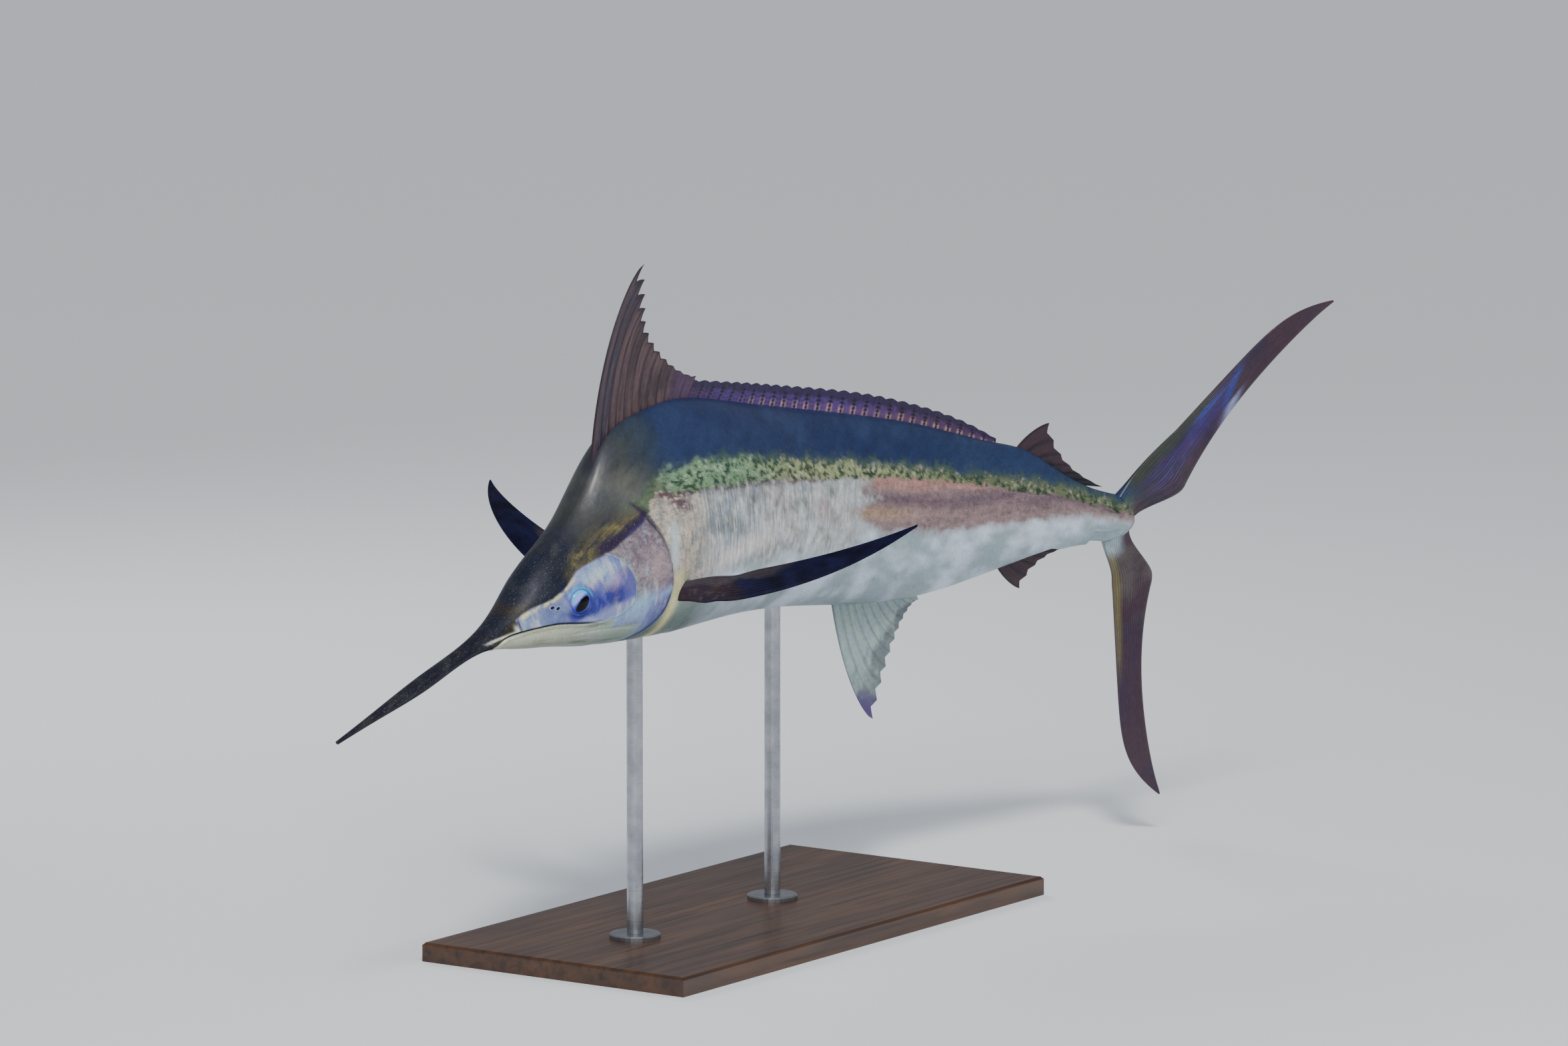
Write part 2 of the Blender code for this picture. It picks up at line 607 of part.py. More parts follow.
def build_tail():
    """Upper and lower lobes of the tail fin."""
    spots = []
    for i in range(TAIL_RAYS):
        middle = i / (TAIL_RAYS - 1)
        spots.append((middle, 1.0 if 0 < i < TAIL_RAYS - 1 else 0.0))
        if RIDGE > 0.0 and i < TAIL_RAYS - 1:
            gap = 1.0 / (TAIL_RAYS - 1)
            spots.append((middle + 0.28 * gap, 0.0))
            spots.append((middle + 0.72 * gap, 0.0))
    rows = (0.0, 0.06, 0.14, 0.26, 0.41, 0.57, 0.72, 0.86, 0.955, 1.0)
    for name, side in (("tail_upper_lobe", 1.0), ("tail_lower_lobe", -1.0)):
        mid = np.zeros((len(rows), len(spots), 2))
        half = np.zeros((len(rows), len(spots)))
        sweep = 1.0 if side > 0.0 else LOWER_SWEEP
        for c, (w, ridge) in enumerate(spots):
            share = 1.0 - w
            foot_z = 0.0245 * share + GAP / UNIT * w
            foot = np.array([float(stalk_end(share)) + ROOT_GAP / UNIT, foot_z])
            for r, u in enumerate(rows):
                lead = tail_lead(u)
                trail = tail_trail(max(u, 0.0))
                whole = lead + (trail - lead) * w
                settle = float(smooth_step(u / 0.18))
                spot = foot + (whole - tail_lead(0.0) * (1.0 - w) - tail_trail(0.0) * w) * 1.0
                target = whole
                spot = spot * (1.0 - settle) + target * settle
                lengthened = 1.0 + (sweep - 1.0) * min(u / 0.2, 1.0)
                spot[0] = STALK_TOP_END + (spot[0] - STALK_TOP_END) * lengthened
                if side < 0.0:
                    reach = float(smooth_step(u / 0.15)) * (1.0 - u)
                    spot[0] += (LOWER_SHIFT[0] * (1.0 - w) + LOWER_SHIFT[1] * w) * reach
                mid[r, c] = spot
                profile = math.sin(math.pi * min(max(w * 0.86 + 0.10, 0.0), 1.0)) ** 0.6
                root = float(surface_offset(min(float(stalk_end(share)), 0.99), 0.0245 * share * 0.96))
                thin = 0.0019 * (1.0 - u) ** 0.8 * profile + 0.00045
                blend = math.exp(-u / 0.07)
                raised = RIDGE * ridge * (1.0 - 0.5 * u) * min(u / 0.1, 1.0)
                half[r, c] = root * blend + thin * (1.0 - blend) + raised
        s = mid[:, :, 0]
        z = mid[:, :, 1] * side
        edge = mid[:, 0]
        step = np.gradient(edge, axis=0)
        out = np.stack([-step[:, 1], step[:, 0]], -1)
        out /= np.linalg.norm(out, axis=1)[:, None]
        push = edge + out * (half[:, 0] * 0.8)[:, None]
        push[0] = edge[0] + np.array([0.0, half[0, 0] * 0.25])
        nose = place(push[:, 0], 0.0 * push[:, 0], push[:, 1] * side)
        add_slab(name, place(s, half, z), place(s, -half, z), FIN_BROWN, nose)


def build_pectorals():
    """Pair of long curved fins held out like wings."""
    for side, sign in (("left", 1.0), ("right", -1.0)):
        out, back, rise = PECTORAL_REACH[side]
        span = np.array([back, out, rise])
        length = float(np.linalg.norm(span))
        span = span / length
        sag, sweep = PECTORAL_SAG[side]
        columns = []
        for i in range(PECTORAL_RAYS):
            gap = 1.0 / (PECTORAL_RAYS - 1)
            columns.append((i * gap, 1.0 if 0 < i < PECTORAL_RAYS - 1 else 0.0))
            if RIDGE > 0.0 and i < PECTORAL_RAYS - 1:
                columns.append(((i + 0.3) * gap, 0.0))
                columns.append(((i + 0.7) * gap, 0.0))
        rows = (0.0, 0.05, 0.14, 0.29, 0.47, 0.66, 0.84, 1.0)
        front = np.zeros((len(rows), len(columns), 3))
        rear = np.zeros((len(rows), len(columns), 3))
        nose = np.zeros((len(rows), 3))
        root = np.array([PECTORAL_STATION, 0.0, PECTORAL_HEIGHT])
        root[1] = float(surface_offset(root[0], root[2]))
        for r, u in enumerate(rows):
            near = 1.0 - float(smooth_step(u / 0.18))
            turn = PECTORAL_TWIST[side][0] * (1.0 - u) + PECTORAL_TWIST[side][1] * u
            turn = math.radians(turn + PECTORAL_ROOT_TURN * near)
            chord = np.array([-math.cos(turn), 0.0, math.sin(turn)])
            normal = np.cross(chord, span)
            normal *= np.sign(normal[2]) / np.linalg.norm(normal)
            width = PECTORAL_ROOT + (PECTORAL_CHORD - PECTORAL_ROOT) * float(smooth_step(u / 0.27))
            width *= 1.0 - 0.95 * u ** 1.9
            bow = 4.0 * u * (1.0 - u)
            centre = root + span * length * u - np.array([sweep, 0.0, sag]) * bow
            centre += np.array([PECTORAL_ROOT_SHIFT[0], 0.0, PECTORAL_ROOT_SHIFT[1]]) * near
            for c, (w, ridge) in enumerate(columns):
                lean = chord * width * (0.5 - w)
                profile = math.sin(math.pi * min(max(w * 0.84 + 0.12, 0.0), 1.0)) ** 0.6
                thick = 0.0026 * (1.0 - u) ** 1.1 * profile + 0.00040
                thick += RIDGE * ridge * (1.0 - 0.6 * u) * min(u / 0.12, 1.0)
                for grid, way in ((front, 1.0), (rear, -1.0)):
                    spot = centre + lean + normal * thick * way
                    skin = float(surface_offset(spot[0], spot[2])) + 1.4 * ROOT_GAP / UNIT
                    spot[1] = skin if r == 0 else max(spot[1], skin)
                    grid[r, c] = spot
            tip = centre + chord * (width * 0.5 + 0.0012 * (1.0 - 0.6 * u))
            if r == 0:
                tip[1] = float(surface_offset(tip[0], tip[2])) + 1.4 * ROOT_GAP / UNIT
            nose[r] = tip
        grids = [place(g[..., 0], g[..., 1] * sign, g[..., 2]) for g in (front, rear, nose)]
        add_slab(side + "_pectoral_fin", grids[0], grids[1], FIN_NAVY, grids[2])


def build_pelvics():
    """Pair of thread-like fins folded into the groove under the belly."""
    stations = np.linspace(PELVIC_SPAN[0], PELVIC_SPAN[1], 12)
    for side, sign in (("left", 1.0), ("right", -1.0)):
        rings = []
        for k, s in enumerate(stations):
            share = k / (len(stations) - 1)
            inner = 0.00035
            outer = inner + 0.0034 * (1.0 - 0.70 * share)
            roof = -float(bottom_depth(s)) + float(groove_depth(s)) - PELVIC_GAP / UNIT
            floor_ = roof - 0.0030 * (1.0 - 0.6 * share)
            middle = 0.5 * (inner + outer)
            loop = [(inner, roof), (middle, roof), (outer, roof - 0.0004), (outer, floor_ + 0.0006),
                    (middle, floor_), (inner, floor_ + 0.0004)]
            rings.append(np.array([(s, y * sign, z) for y, z in loop]))
        add_loft(side + "_pelvic_fin", [r for r in rings], FIN_NAVY,
                 start_centre=centre_of(rings[0]), end_centre=centre_of(rings[-1]))


def centre_of(ring):
    """Mean place of a ring."""
    return ring.mean(axis=0)


def build_keels():
    """Two short keels on each side of the tail stalk."""
    stations = np.linspace(KEEL_SPAN[0], KEEL_SPAN[1], 9)
    for side, sign in (("left", 1.0), ("right", -1.0)):
        for level, start, end in (("upper", 0.0125, 0.0065), ("lower", -0.0125, -0.0065)):
            rings = []
            for k, s in enumerate(stations):
                share = k / (len(stations) - 1)
                z = start + (end - start) * share
                high = 0.0006 + KEEL_HEIGHT * math.sin(math.pi * share ** 0.8) ** 0.8
                thick = 0.0010
                loop = []
                for dz in (-thick, thick):
                    foot = float(surface_offset(s, z + dz)) + 1.6 * ROOT_GAP / UNIT
                    loop.append((s, foot * sign, z + dz))
                crown = float(surface_offset(s, z)) + high
                loop.append((s, crown * sign, z + 0.0004))
                loop.append((s, crown * sign, z - 0.0004))
                rings.append(np.array(loop))
            add_loft(side + "_" + level + "_tail_keel", rings, BACK,
                     start_centre=centre_of(rings[0]), end_centre=centre_of(rings[-1]))


def toward(ring, centre, inset):
    """Ring drawn in toward a centre by an inset for each place."""
    way = centre[None, :] - ring
    size = np.linalg.norm(way, axis=1)[:, None]
    return ring + way / size * inset[:, None]


def build_head():
    """Bill, head with its gill covers, and lower jaw."""
    side = 7
    above = 5
    rings = []
    for s in (-0.2050, -0.2035, -0.198, -0.180, -0.150, -0.110, -0.070, -0.030):
        rings.append(upper_from_full(s, side))
    rings.append(upper_from_full(0.0, side))
    for s in (0.006, 0.012, 0.024, BILL_END - 0.5 * GAP / UNIT):
        rings.append(upper_ring(s, side + 4, above + 2))
    add_loft("bill", rings, FIN_BROWN)

    rings = []
    for s in (BILL_END + 0.5 * GAP / UNIT,) + HEAD_STATIONS + (JAW_END,):
        rings.append(upper_ring(s))
    rings.append(head_ring(JAW_END + JAW_STEP))
    rings.append(head_ring(0.142))
    start_angles = head_angles(WARP_START)
    rings.append(head_ring(WARP_START))
    for share in (0.22, 0.44, 0.66, 0.84, 0.95, 1.0):
        rings.append(warped_ring(WARP_START, start_angles, share, -0.5 * GAP / UNIT))
    centre = np.array([COVER_CENTRE - 0.5 * GAP / UNIT, 0.0, 0.010])
    head = add_loft("head", rings, BACK, end_centre=centre)

    rings = []
    ends = (JAW_START, 0.006, 0.012, 0.024, BILL_END) + HEAD_STATIONS
    for s in ends:
        rings.append(jaw_ring(s))
    rings.append(jaw_ring(JAW_END - GAP / UNIT))
    add_loft("lower_jaw", rings, BELLY)
    return head


def upper_from_full(s, points):
    """Round section of the free bill with the same count of places as the section over the mouth."""
    angle = np.linspace(90.0, -90.0, points + 4)
    where = np.full(points + 4, float(s))
    y, z = side_point(where, angle)
    return full_ring((where, y, z), s, s)


def jaw_ring(s):
    """Section of the lower jaw, closed on top by a flat floor of the mouth."""
    line = float(mouth_height(s)) - GAP / UNIT / 2.0
    low = -float(bottom_depth(s))
    shut = smooth_step(s / 0.03)
    low = min(low, line - 0.0035 - 0.004 * float(smooth_step(s / 0.02)))
    edge = max(float(surface_offset(s, max(line, -float(bottom_depth(s)) * 0.97))) - LIP_INSET, 0.0012)
    narrow = 0.35 + 0.65 * float(shut) ** 0.5
    points = [(0.5 * edge * narrow, line), (edge * narrow, line)]
    lip = min(LIP_HEIGHT, 0.3 * (line - low))
    count = 9
    for k in range(count):
        a = k / (count - 1)
        z = line - lip - (line - lip - low) * math.sin(a * math.pi / 2.0) ** 1.15
        inside = -z < float(bottom_depth(s))
        y = float(surface_offset(s, max(z, -float(bottom_depth(s))))) if inside else 0.0
        flat = 0.0008
        taper = math.cos(a * math.pi / 2.0)
        y = max(y, flat + (edge + LIP_INSET - flat) * taper * 0.6) if a < 1.0 else max(flat, crest_half(s))
        points.append((min(y, edge + LIP_INSET) * narrow, z))
    loop = [(s, 0.0, line)]
    loop += [(s, y, z) for y, z in points]
    loop += [(s, 0.0, low)]
    loop += [(s, -y, z) for y, z in reversed(points)]
    return np.array(loop, float)


def build_torso():
    """Three lengths of the trunk and the stalk of the tail."""
    half_gap = 0.5 * GAP / UNIT
    rings = []
    end = TORSO_CUTS[0] - half_gap
    centre = np.array([COVER_CENTRE + half_gap, 0.0, 0.010])
    edge = cover_edge(COVER_ANGLES) + half_gap
    shape = np.exp(-((COVER_ANGLES + 12.0) / 48.0) ** 4)
    for share in (0.0, 0.045, 0.11, 0.20, 0.32, 0.46, 0.62, 0.80, 1.0):
        where = edge + (end - edge) * share
        y, z = side_point(where, COVER_ANGLES)
        ring = full_ring((where, y, z), where[0], where[-1])
        inset = COVER_STEP * (1.0 - float(smooth_step(share / 0.11))) * shape
        padded = np.concatenate([[0.0], inset, [0.0, 0.0, 0.0], inset[::-1]])
        rings.append(toward(ring, centre, padded) if share < 0.11 else ring)
    front = add_loft("trunk_front", rings, FLANK, start_centre=centre)
    lengths = (("trunk_middle", TORSO_CUTS[0], TORSO_CUTS[1], 7, FLANK),
               ("trunk_rear", TORSO_CUTS[1], TORSO_CUTS[2], 8, FLANK))
    made = [front]
    for name, first, last, count, colour in lengths:
        stations = np.linspace(first + half_gap, last - half_gap, count)
        made.append(add_loft(name, [plain_ring(s) for s in stations], colour))
    rings = [plain_ring(s) for s in (TORSO_CUTS[2] + half_gap,) + STALK_STATIONS]
    angles = np.linspace(90.0, -90.0, SIDE_POINTS)
    share = np.sign(angles) * np.abs(np.sin(np.radians(angles))) ** (2.0 / 1.95)
    for mix in (0.5, 1.0):
        where = 0.937 + (stalk_end(share) - 0.937) * mix
        y, z = side_point(where, angles)
        rings.append(full_ring((where, y, z), where[0], where[-1]))
    last = np.array([STALK_MIDDLE_END, 0.0, 0.0])
    made.append(add_loft("tail_stalk", rings, BACK, end_centre=last))
    return made


def ball(name, centre, axes, radii, rows=10, columns=20):
    """Ellipsoid with its own axes, in world metres."""
    points = [centre + axes[2] * radii[2]]
    faces = []
    for r in range(1, rows):
        polar = math.pi * r / rows
        for c in range(columns):
            turn = 2.0 * math.pi * c / columns
            spot = (axes[0] * radii[0] * math.sin(polar) * math.cos(turn)
                    + axes[1] * radii[1] * math.sin(polar) * math.sin(turn)
                    + axes[2] * radii[2] * math.cos(polar))
            points.append(centre + spot)
    points.append(centre - axes[2] * radii[2])
    for c in range(columns):
        d = (c + 1) % columns
        faces.append((0, 1 + c, 1 + d))
        for r in range(rows - 2):
            a = 1 + r * columns
            faces.append((a + c, a + columns + c, a + columns + d, a + d))
        a = 1 + (rows - 2) * columns
        faces.append((a + c, len(points) - 1, a + d))
    return points, faces


def skin_frame(s, z, sign):
    """Place on the skin with the directions along, up and out of it."""
    step = 0.002
    spot = place(s, float(surface_offset(s, z)) * sign, z)
    ahead = place(s - step, float(surface_offset(s - step, z)) * sign, z) - spot
    over = place(s, float(surface_offset(s, z + step)) * sign, z + step) - spot
    ahead /= np.linalg.norm(ahead)
    out = np.cross(over, ahead) * sign
    out /= np.linalg.norm(out)
    over = np.cross(ahead, out) * sign
    over /= np.linalg.norm(over)
    return spot, ahead, over, out


def cut_away(item, cutters):
    """Take the cutters out of an item and keep the largest closed surface."""
    for cutter in cutters:
        cutter.hide_render = True
        cutter.display_type = "WIRE"
        change = item.modifiers.new("cut", "BOOLEAN")
        change.operation = "DIFFERENCE"
        change.solver = "EXACT"
        change.object = cutter
    bpy.context.view_layer.update()
    seen = item.evaluated_get(bpy.context.evaluated_depsgraph_get())
    mesh = bpy.data.meshes.new_from_object(seen)
    item.modifiers.clear()
    old = item.data
    item.data = mesh
    mesh.name = item.name
    bpy.data.meshes.remove(old)
    for cutter in cutters:
        bpy.data.objects.remove(cutter)
    mesh.shade_smooth()
    mesh.set_sharp_from_angle(angle=math.radians(38.0))


def build_eyes(head):
    """Eyes seated in sockets, and the nostrils."""
    cutters = []
    clear = GAP + 0.0001
    for side, sign in (("left", 1.0), ("right", -1.0)):
        spot, ahead, over, out = skin_frame(EYE_STATION, EYE_HEIGHT, sign)
        centre = spot - out * EYE_SINK * UNIT
        radii = (EYE_RADIUS * UNIT, EYE_RADIUS * UNIT, EYE_DEPTH_RADIUS * UNIT)
        points, faces = ball("eye", centre, (ahead, over, out), radii)
        add_object(side + "_eye", points, faces, EYE_BLACK, rough=0.08)
        wide = tuple(r * 1.012 + clear for r in radii)
        points, faces = ball("socket", centre, (ahead, over, out), wide)
        cutters.append(add_object("socket_" + side, points, faces, EYE_BLACK))
        for s, z in NOSTRILS:
            spot, ahead, over, out = skin_frame(s, z, sign)
            radii = tuple(r * UNIT for r in NOSTRIL_SIZE)
            points, faces = ball("pit", spot, (ahead, over, out), radii, 6, 12)
            cutters.append(add_object("pit", points, faces, EYE_BLACK))
    cut_away(head, cutters)


def lathe(name, centre, profile, colour, rough, metal, columns=28):
    """Turned body about a vertical line from a profile of radius and height."""
    points = []
    faces = []
    for radius, height in profile:
        for c in range(columns):
            turn = 2.0 * math.pi * c / columns
            across = centre[0] + radius * math.cos(turn)
            along = centre[1] + radius * math.sin(turn)
            points.append((across, along, height))
    for r in range(len(profile) - 1):
        for c in range(columns):
            d = (c + 1) % columns
            a = r * columns
            faces.append((a + c, a + d, a + columns + d, a + columns + c))
    faces.append(tuple(range(columns)))
    faces.append(tuple(range((len(profile) - 1) * columns, len(profile) * columns)))
    return add_object(name, points, faces, colour, rough, metal)


def build_stand(trunk):
    """Flat base and two rods that end in bored holes in the belly."""
    hl = BASE_LENGTH / 2.0
    hw = BASE_WIDTH / 2.0
    points = []
    levels = ((0.0, 0.0), (0.0, BASE_THICK - BASE_CHAMFER), (BASE_CHAMFER, BASE_THICK))
    for inset, height in levels:
        for x, y in ((-1, -1), (1, -1), (1, 1), (-1, 1)):
            points.append((x * (hl - inset), y * (hw - inset), height))
    faces = [(3, 2, 1, 0), (8, 9, 10, 11)]
    for r in range(2):
        for c in range(4):
            d = (c + 1) % 4
            faces.append((r * 4 + c, r * 4 + d, r * 4 + 4 + d, r * 4 + 4 + c))
    add_object("stand_base", points, faces, STAND_WOOD, rough=0.45, smooth=False)
    for key, body in (("front", trunk[0]), ("rear", trunk[1])):
        s = ROD_STATIONS[key]
        foot = place(s, 0.0, -float(bottom_depth(s)))
        low = BASE_THICK + GAP
        disc = ((FOOT_RADIUS, low), (FOOT_RADIUS, low + FOOT_THICK * 0.75),
                (FOOT_RADIUS - FOOT_THICK * 0.25, low + FOOT_THICK))
        lathe("stand_foot_" + key, foot, disc, STAND_STEEL, 0.30, 1.0)
        low += FOOT_THICK + GAP
        high = float(foot[2]) + ROD_SINK
        profile = ((ROD_RADIUS, low), (ROD_RADIUS, high - 0.002), (ROD_RADIUS - 0.002, high))
        lathe("stand_rod_" + key, foot, profile, STAND_STEEL, 0.30, 1.0)
        bore = ROD_RADIUS + 0.0006
        hole = lathe("hole", foot, ((bore, float(foot[2]) - 0.15), (bore, high + 0.0006)),
                     STAND_STEEL, 0.3, 1.0)
        cut_away(body, [hole])


for old_object in list(bpy.data.objects):
    bpy.data.objects.remove(old_object)
fish_head = build_head()
trunk_parts = build_torso()
build_eyes(fish_head)
build_first_dorsal()
build_small_fins()
build_tail()
build_pectorals()
build_pelvics()
build_keels()
build_stand(trunk_parts)
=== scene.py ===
"""Looks of the blue marlin model: one skin over the whole fish, finer fins, eyes and stand finishes.

Places on the fish are body places, as in the part's source: the station s runs from the tip of the
lower jaw (0) to just short of the fork of the tail (1), y is the offset to the fish's left and z the
height above the centre line, all in units of UNIT metres. Colours are worked out from s and z.
"""

import math

import bmesh
import bpy
import numpy as np
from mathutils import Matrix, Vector


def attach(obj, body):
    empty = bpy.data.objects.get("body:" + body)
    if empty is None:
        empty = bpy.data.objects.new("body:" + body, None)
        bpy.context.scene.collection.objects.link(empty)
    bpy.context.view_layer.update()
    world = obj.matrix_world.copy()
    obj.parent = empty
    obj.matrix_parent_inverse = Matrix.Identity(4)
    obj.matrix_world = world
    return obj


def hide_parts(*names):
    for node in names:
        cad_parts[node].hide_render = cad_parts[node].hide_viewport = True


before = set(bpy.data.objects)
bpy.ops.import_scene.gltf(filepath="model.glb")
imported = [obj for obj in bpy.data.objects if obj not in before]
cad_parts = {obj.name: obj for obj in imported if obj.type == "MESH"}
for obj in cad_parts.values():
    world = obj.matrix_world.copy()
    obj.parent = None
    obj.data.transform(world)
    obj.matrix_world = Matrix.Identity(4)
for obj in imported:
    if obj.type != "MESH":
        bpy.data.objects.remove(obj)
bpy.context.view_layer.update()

# Body sizes, the same as in the part's source
FORK_LENGTH = 2.50
FORK_STATION = 1.036
UNIT = FORK_LENGTH / FORK_STATION
AXIS_HEIGHT = 0.98
BODY_SHIFT_X = 0.05
BEND_STATIONS = (-0.05, 0.22, 0.45, 0.68, 0.88, 1.0)
BEND_YAW = (-8.1, 1.3, 0.0, -12.0, -15.5, -19.9)
BEND_PITCH = (-20.3, -9.5, 3.5, 6.9, 6.9, 15.6)
BEND_ROLL = (-6.4, -3.3, -1.6, -3.3, -5.5, -15.0)
MID_STATION = 0.45
LINE_RANGE = (-0.22, 1.16)
LINE_COUNT = 553
OUTLINE_STATIONS = (-0.205, -0.15, -0.08, 0.0, 0.04, 0.08, 0.12, 0.16, 0.20, 0.25, 0.30,
                    0.40, 0.50, 0.60, 0.70, 0.80, 0.835, 0.88, 0.94, 0.975, 1.0)
TOP_HEIGHT = (0.0016, 0.0040, 0.0068, 0.0105, 0.0214, 0.0432, 0.0592, 0.0830, 0.1207, 0.1323, 0.1320,
              0.1150, 0.1020, 0.0955, 0.0865, 0.0702, 0.0640, 0.0445, 0.0262, 0.0245, 0.0250)
BOTTOM_DEPTH = (0.0016, 0.0040, 0.0066, 0.0088, 0.0256, 0.0411, 0.0565, 0.0692, 0.0786, 0.0877, 0.0923,
                0.0938, 0.0934, 0.0929, 0.0850, 0.0610, 0.0513, 0.0389, 0.0258, 0.0245, 0.0250)
HALF_WIDTH = (0.0020, 0.0048, 0.0085, 0.0125, 0.0230, 0.0350, 0.0450, 0.0520, 0.0570, 0.0610, 0.0620,
              0.0610, 0.0570, 0.0510, 0.0410, 0.0290, 0.0247, 0.0195, 0.0130, 0.0085, 0.0055)
POWER_STATIONS = (-0.205, 0.02, 0.10, 0.20, 0.30, 0.50, 0.70, 0.85, 0.95, 1.0)
TOP_POWER = (2.0, 2.05, 1.65, 1.50, 1.80, 1.90, 1.85, 1.80, 1.90, 2.0)
BOTTOM_POWER = (2.0, 2.0, 1.95, 2.05, 2.15, 2.10, 2.00, 1.90, 1.90, 2.0)
CREST_HALF = 0.0022
BILL_CREST_HALF = 0.0003

# Head, gill covers, groove and keels
MOUTH_STATIONS = (0.0, 0.006, 0.0135, 0.029, 0.044, 0.060, 0.077, 0.093, 0.1165, 0.135)
MOUTH_HEIGHT = (-0.0105, -0.0055, -0.0016, -0.0010, -0.0029, -0.0057, -0.0097, -0.0158, -0.0238, -0.0290)
MOUTH_END = 0.124
MOUTH_FALL = 0.18
LIP_DEPTH = 0.0017
LIP_SPREAD = 0.0009
COVER_HEIGHTS = (-1.0, -0.65, -0.41, 0.0, 0.26, 0.50, 1.0)
COVER_STATIONS = (0.176, 0.2136, 0.2225, 0.2227, 0.2147, 0.2000, 0.1690)
COVER_MIDDLE = 0.2227
COVER_ANGLE_TOP = 40.0
COVER_ANGLE_LOW = -76.0
COVER_STEP = 0.0019
COVER_POWER = 1.85
CHEEK_CENTRE = (0.130, -0.006)
CHEEK_REACH = (0.041, 0.045, 0.0245)
OLIVE_STATIONS = (0.100, 0.111, 0.125, 0.150, 0.172, 0.197, 0.205)
OLIVE_HEIGHTS = (0.024, 0.0285, 0.0365, 0.0500, 0.0520, 0.0540, 0.0590)
PELVIC_SPAN = (0.290, 0.448)
PELVIC_GAP = 0.0011
GROOVE_SPAN = (0.262, 0.472)
GROOVE_RAMP = 0.012
GROOVE_HALF = 0.0050
GROOVE_DEPTH = 0.0030
KEEL_SPAN = (0.938, 0.974)
KEEL_HEIGHT = 0.0045
KEEL_SPREAD = 0.0011
STALK_TOP_END = 0.962
STALK_MIDDLE_END = 0.985
STALK_END_POWER = 1.8
STALK_POWER = 1.95
STALK_OVERLAP = 0.004
EYE_STATION = 0.101
EYE_HEIGHT = 0.004
EYE_RADIUS = 0.0128
EYE_DEPTH_RADIUS = 0.0075
EYE_SINK = 0.0042
NOSTRILS = ((0.0702, 0.0096), (0.0755, 0.0069))
NOSTRIL_DENT = 0.0016

# Fins
LOBE_BASE = (0.1830, 0.3350)
LOBE_TIP = (0.2760, 0.2730)
LOBE_RAYS = 13
LOBE_BOW = 0.058
LOBE_HEEL = 0.0195
LOW_SPAN = (0.3345, 0.7970)
LOW_RAYS = 27
LOW_STATIONS = (0.30, 0.34, 0.40, 0.50, 0.60, 0.69, 0.77, 0.80)
LOW_HEIGHT = (0.0190, 0.0182, 0.0203, 0.0225, 0.0230, 0.0190, 0.0110, 0.0035)
LOW_SLANT_FRONT = 0.85
LOW_SLANT_REAR = 0.20
SECOND_BASE = (0.826, 0.915)
SECOND_RAYS = 7
ANAL_BASE = (0.597, 0.712)
ANAL_RAYS = 12
SECOND_ANAL_BASE = (0.818, 0.897)
TAIL_FOOT = 0.0252
TAIL_TIP = 0.273
TAIL_SWEEP = 0.125
TAIL_RAYS = 17
TAIL_ROOT_HALF = 0.0245
LOWER_SWEEP = 1.20
LOWER_SHIFT = (0.014, -0.011)
PECTORAL_STATION = 0.2420
PECTORAL_HEIGHT = -0.0365
PECTORAL_CHORD = 0.0495
PECTORAL_ROOT = 0.0194
PECTORAL_ROOT_TURN = -63.0
PECTORAL_ROOT_SHIFT = (-0.0011, 0.0030)
PECTORAL_RAYS = 12
PECTORAL_SINK = 0.0020
PECTORAL_REACH = {"left": (0.196, 0.110, 0.065), "right": (0.192, 0.125, 0.050)}
PECTORAL_SAG = {"left": (0.015, -0.016), "right": (-0.009, 0.037)}
PECTORAL_TWIST = {"left": (-16.0, -48.0), "right": (-18.0, -13.0)}

# Borders of the markings on the side, as stations and heights
DARK_STATIONS = (-0.205, 0.003, 0.048, 0.073, 0.087, 0.109, 0.156, 0.195, 0.2065, 0.223)
DARK_HEIGHTS = (-0.020, 0.003, 0.0150, 0.0170, 0.0200, 0.0310, 0.0360, 0.0470, 0.0555, 0.0690)
GREEN_TOP_STATIONS = (0.200, 0.233, 0.290, 0.345, 0.400, 0.517, 0.609, 0.704, 0.787, 0.893, 0.96)
GREEN_TOP = (0.072, 0.0840, 0.0800, 0.0720, 0.0625, 0.0530, 0.0510, 0.0465, 0.0390, 0.0275, 0.019)
GREEN_LOW_STATIONS = (0.200, 0.223, 0.2725, 0.330, 0.392, 0.450, 0.513, 0.607, 0.703, 0.786, 0.891, 0.96)
GREEN_LOW = (0.052, 0.0690, 0.0560, 0.0470, 0.0425, 0.0390, 0.0380, 0.0400, 0.0368, 0.0290, 0.0180, 0.010)
COPPER_STATIONS = (0.500, 0.540, 0.607, 0.703, 0.786, 0.850, 0.920)
COPPER_LOW = (0.004, -0.004, -0.013, -0.013, -0.010, -0.004, 0.002)

# Camera, as fitted to the picture, and the floor
CAMERA_AZIMUTH = -55.23
CAMERA_ELEVATION = 8.79
CAMERA_DISTANCE = 9.951
IMAGE_WIDTH = 2351
IMAGE_HEIGHT = 1568
TARGET_PIXEL = (1124.8, 770.0)
PIXELS_PER_UNIT = 1542.8
FLOOR_HALF = 90.0

# How colours are deepened against the soft light
SATURATION = 1.30
MIDDLE_GREY = 0.36
DEPTH = 0.30


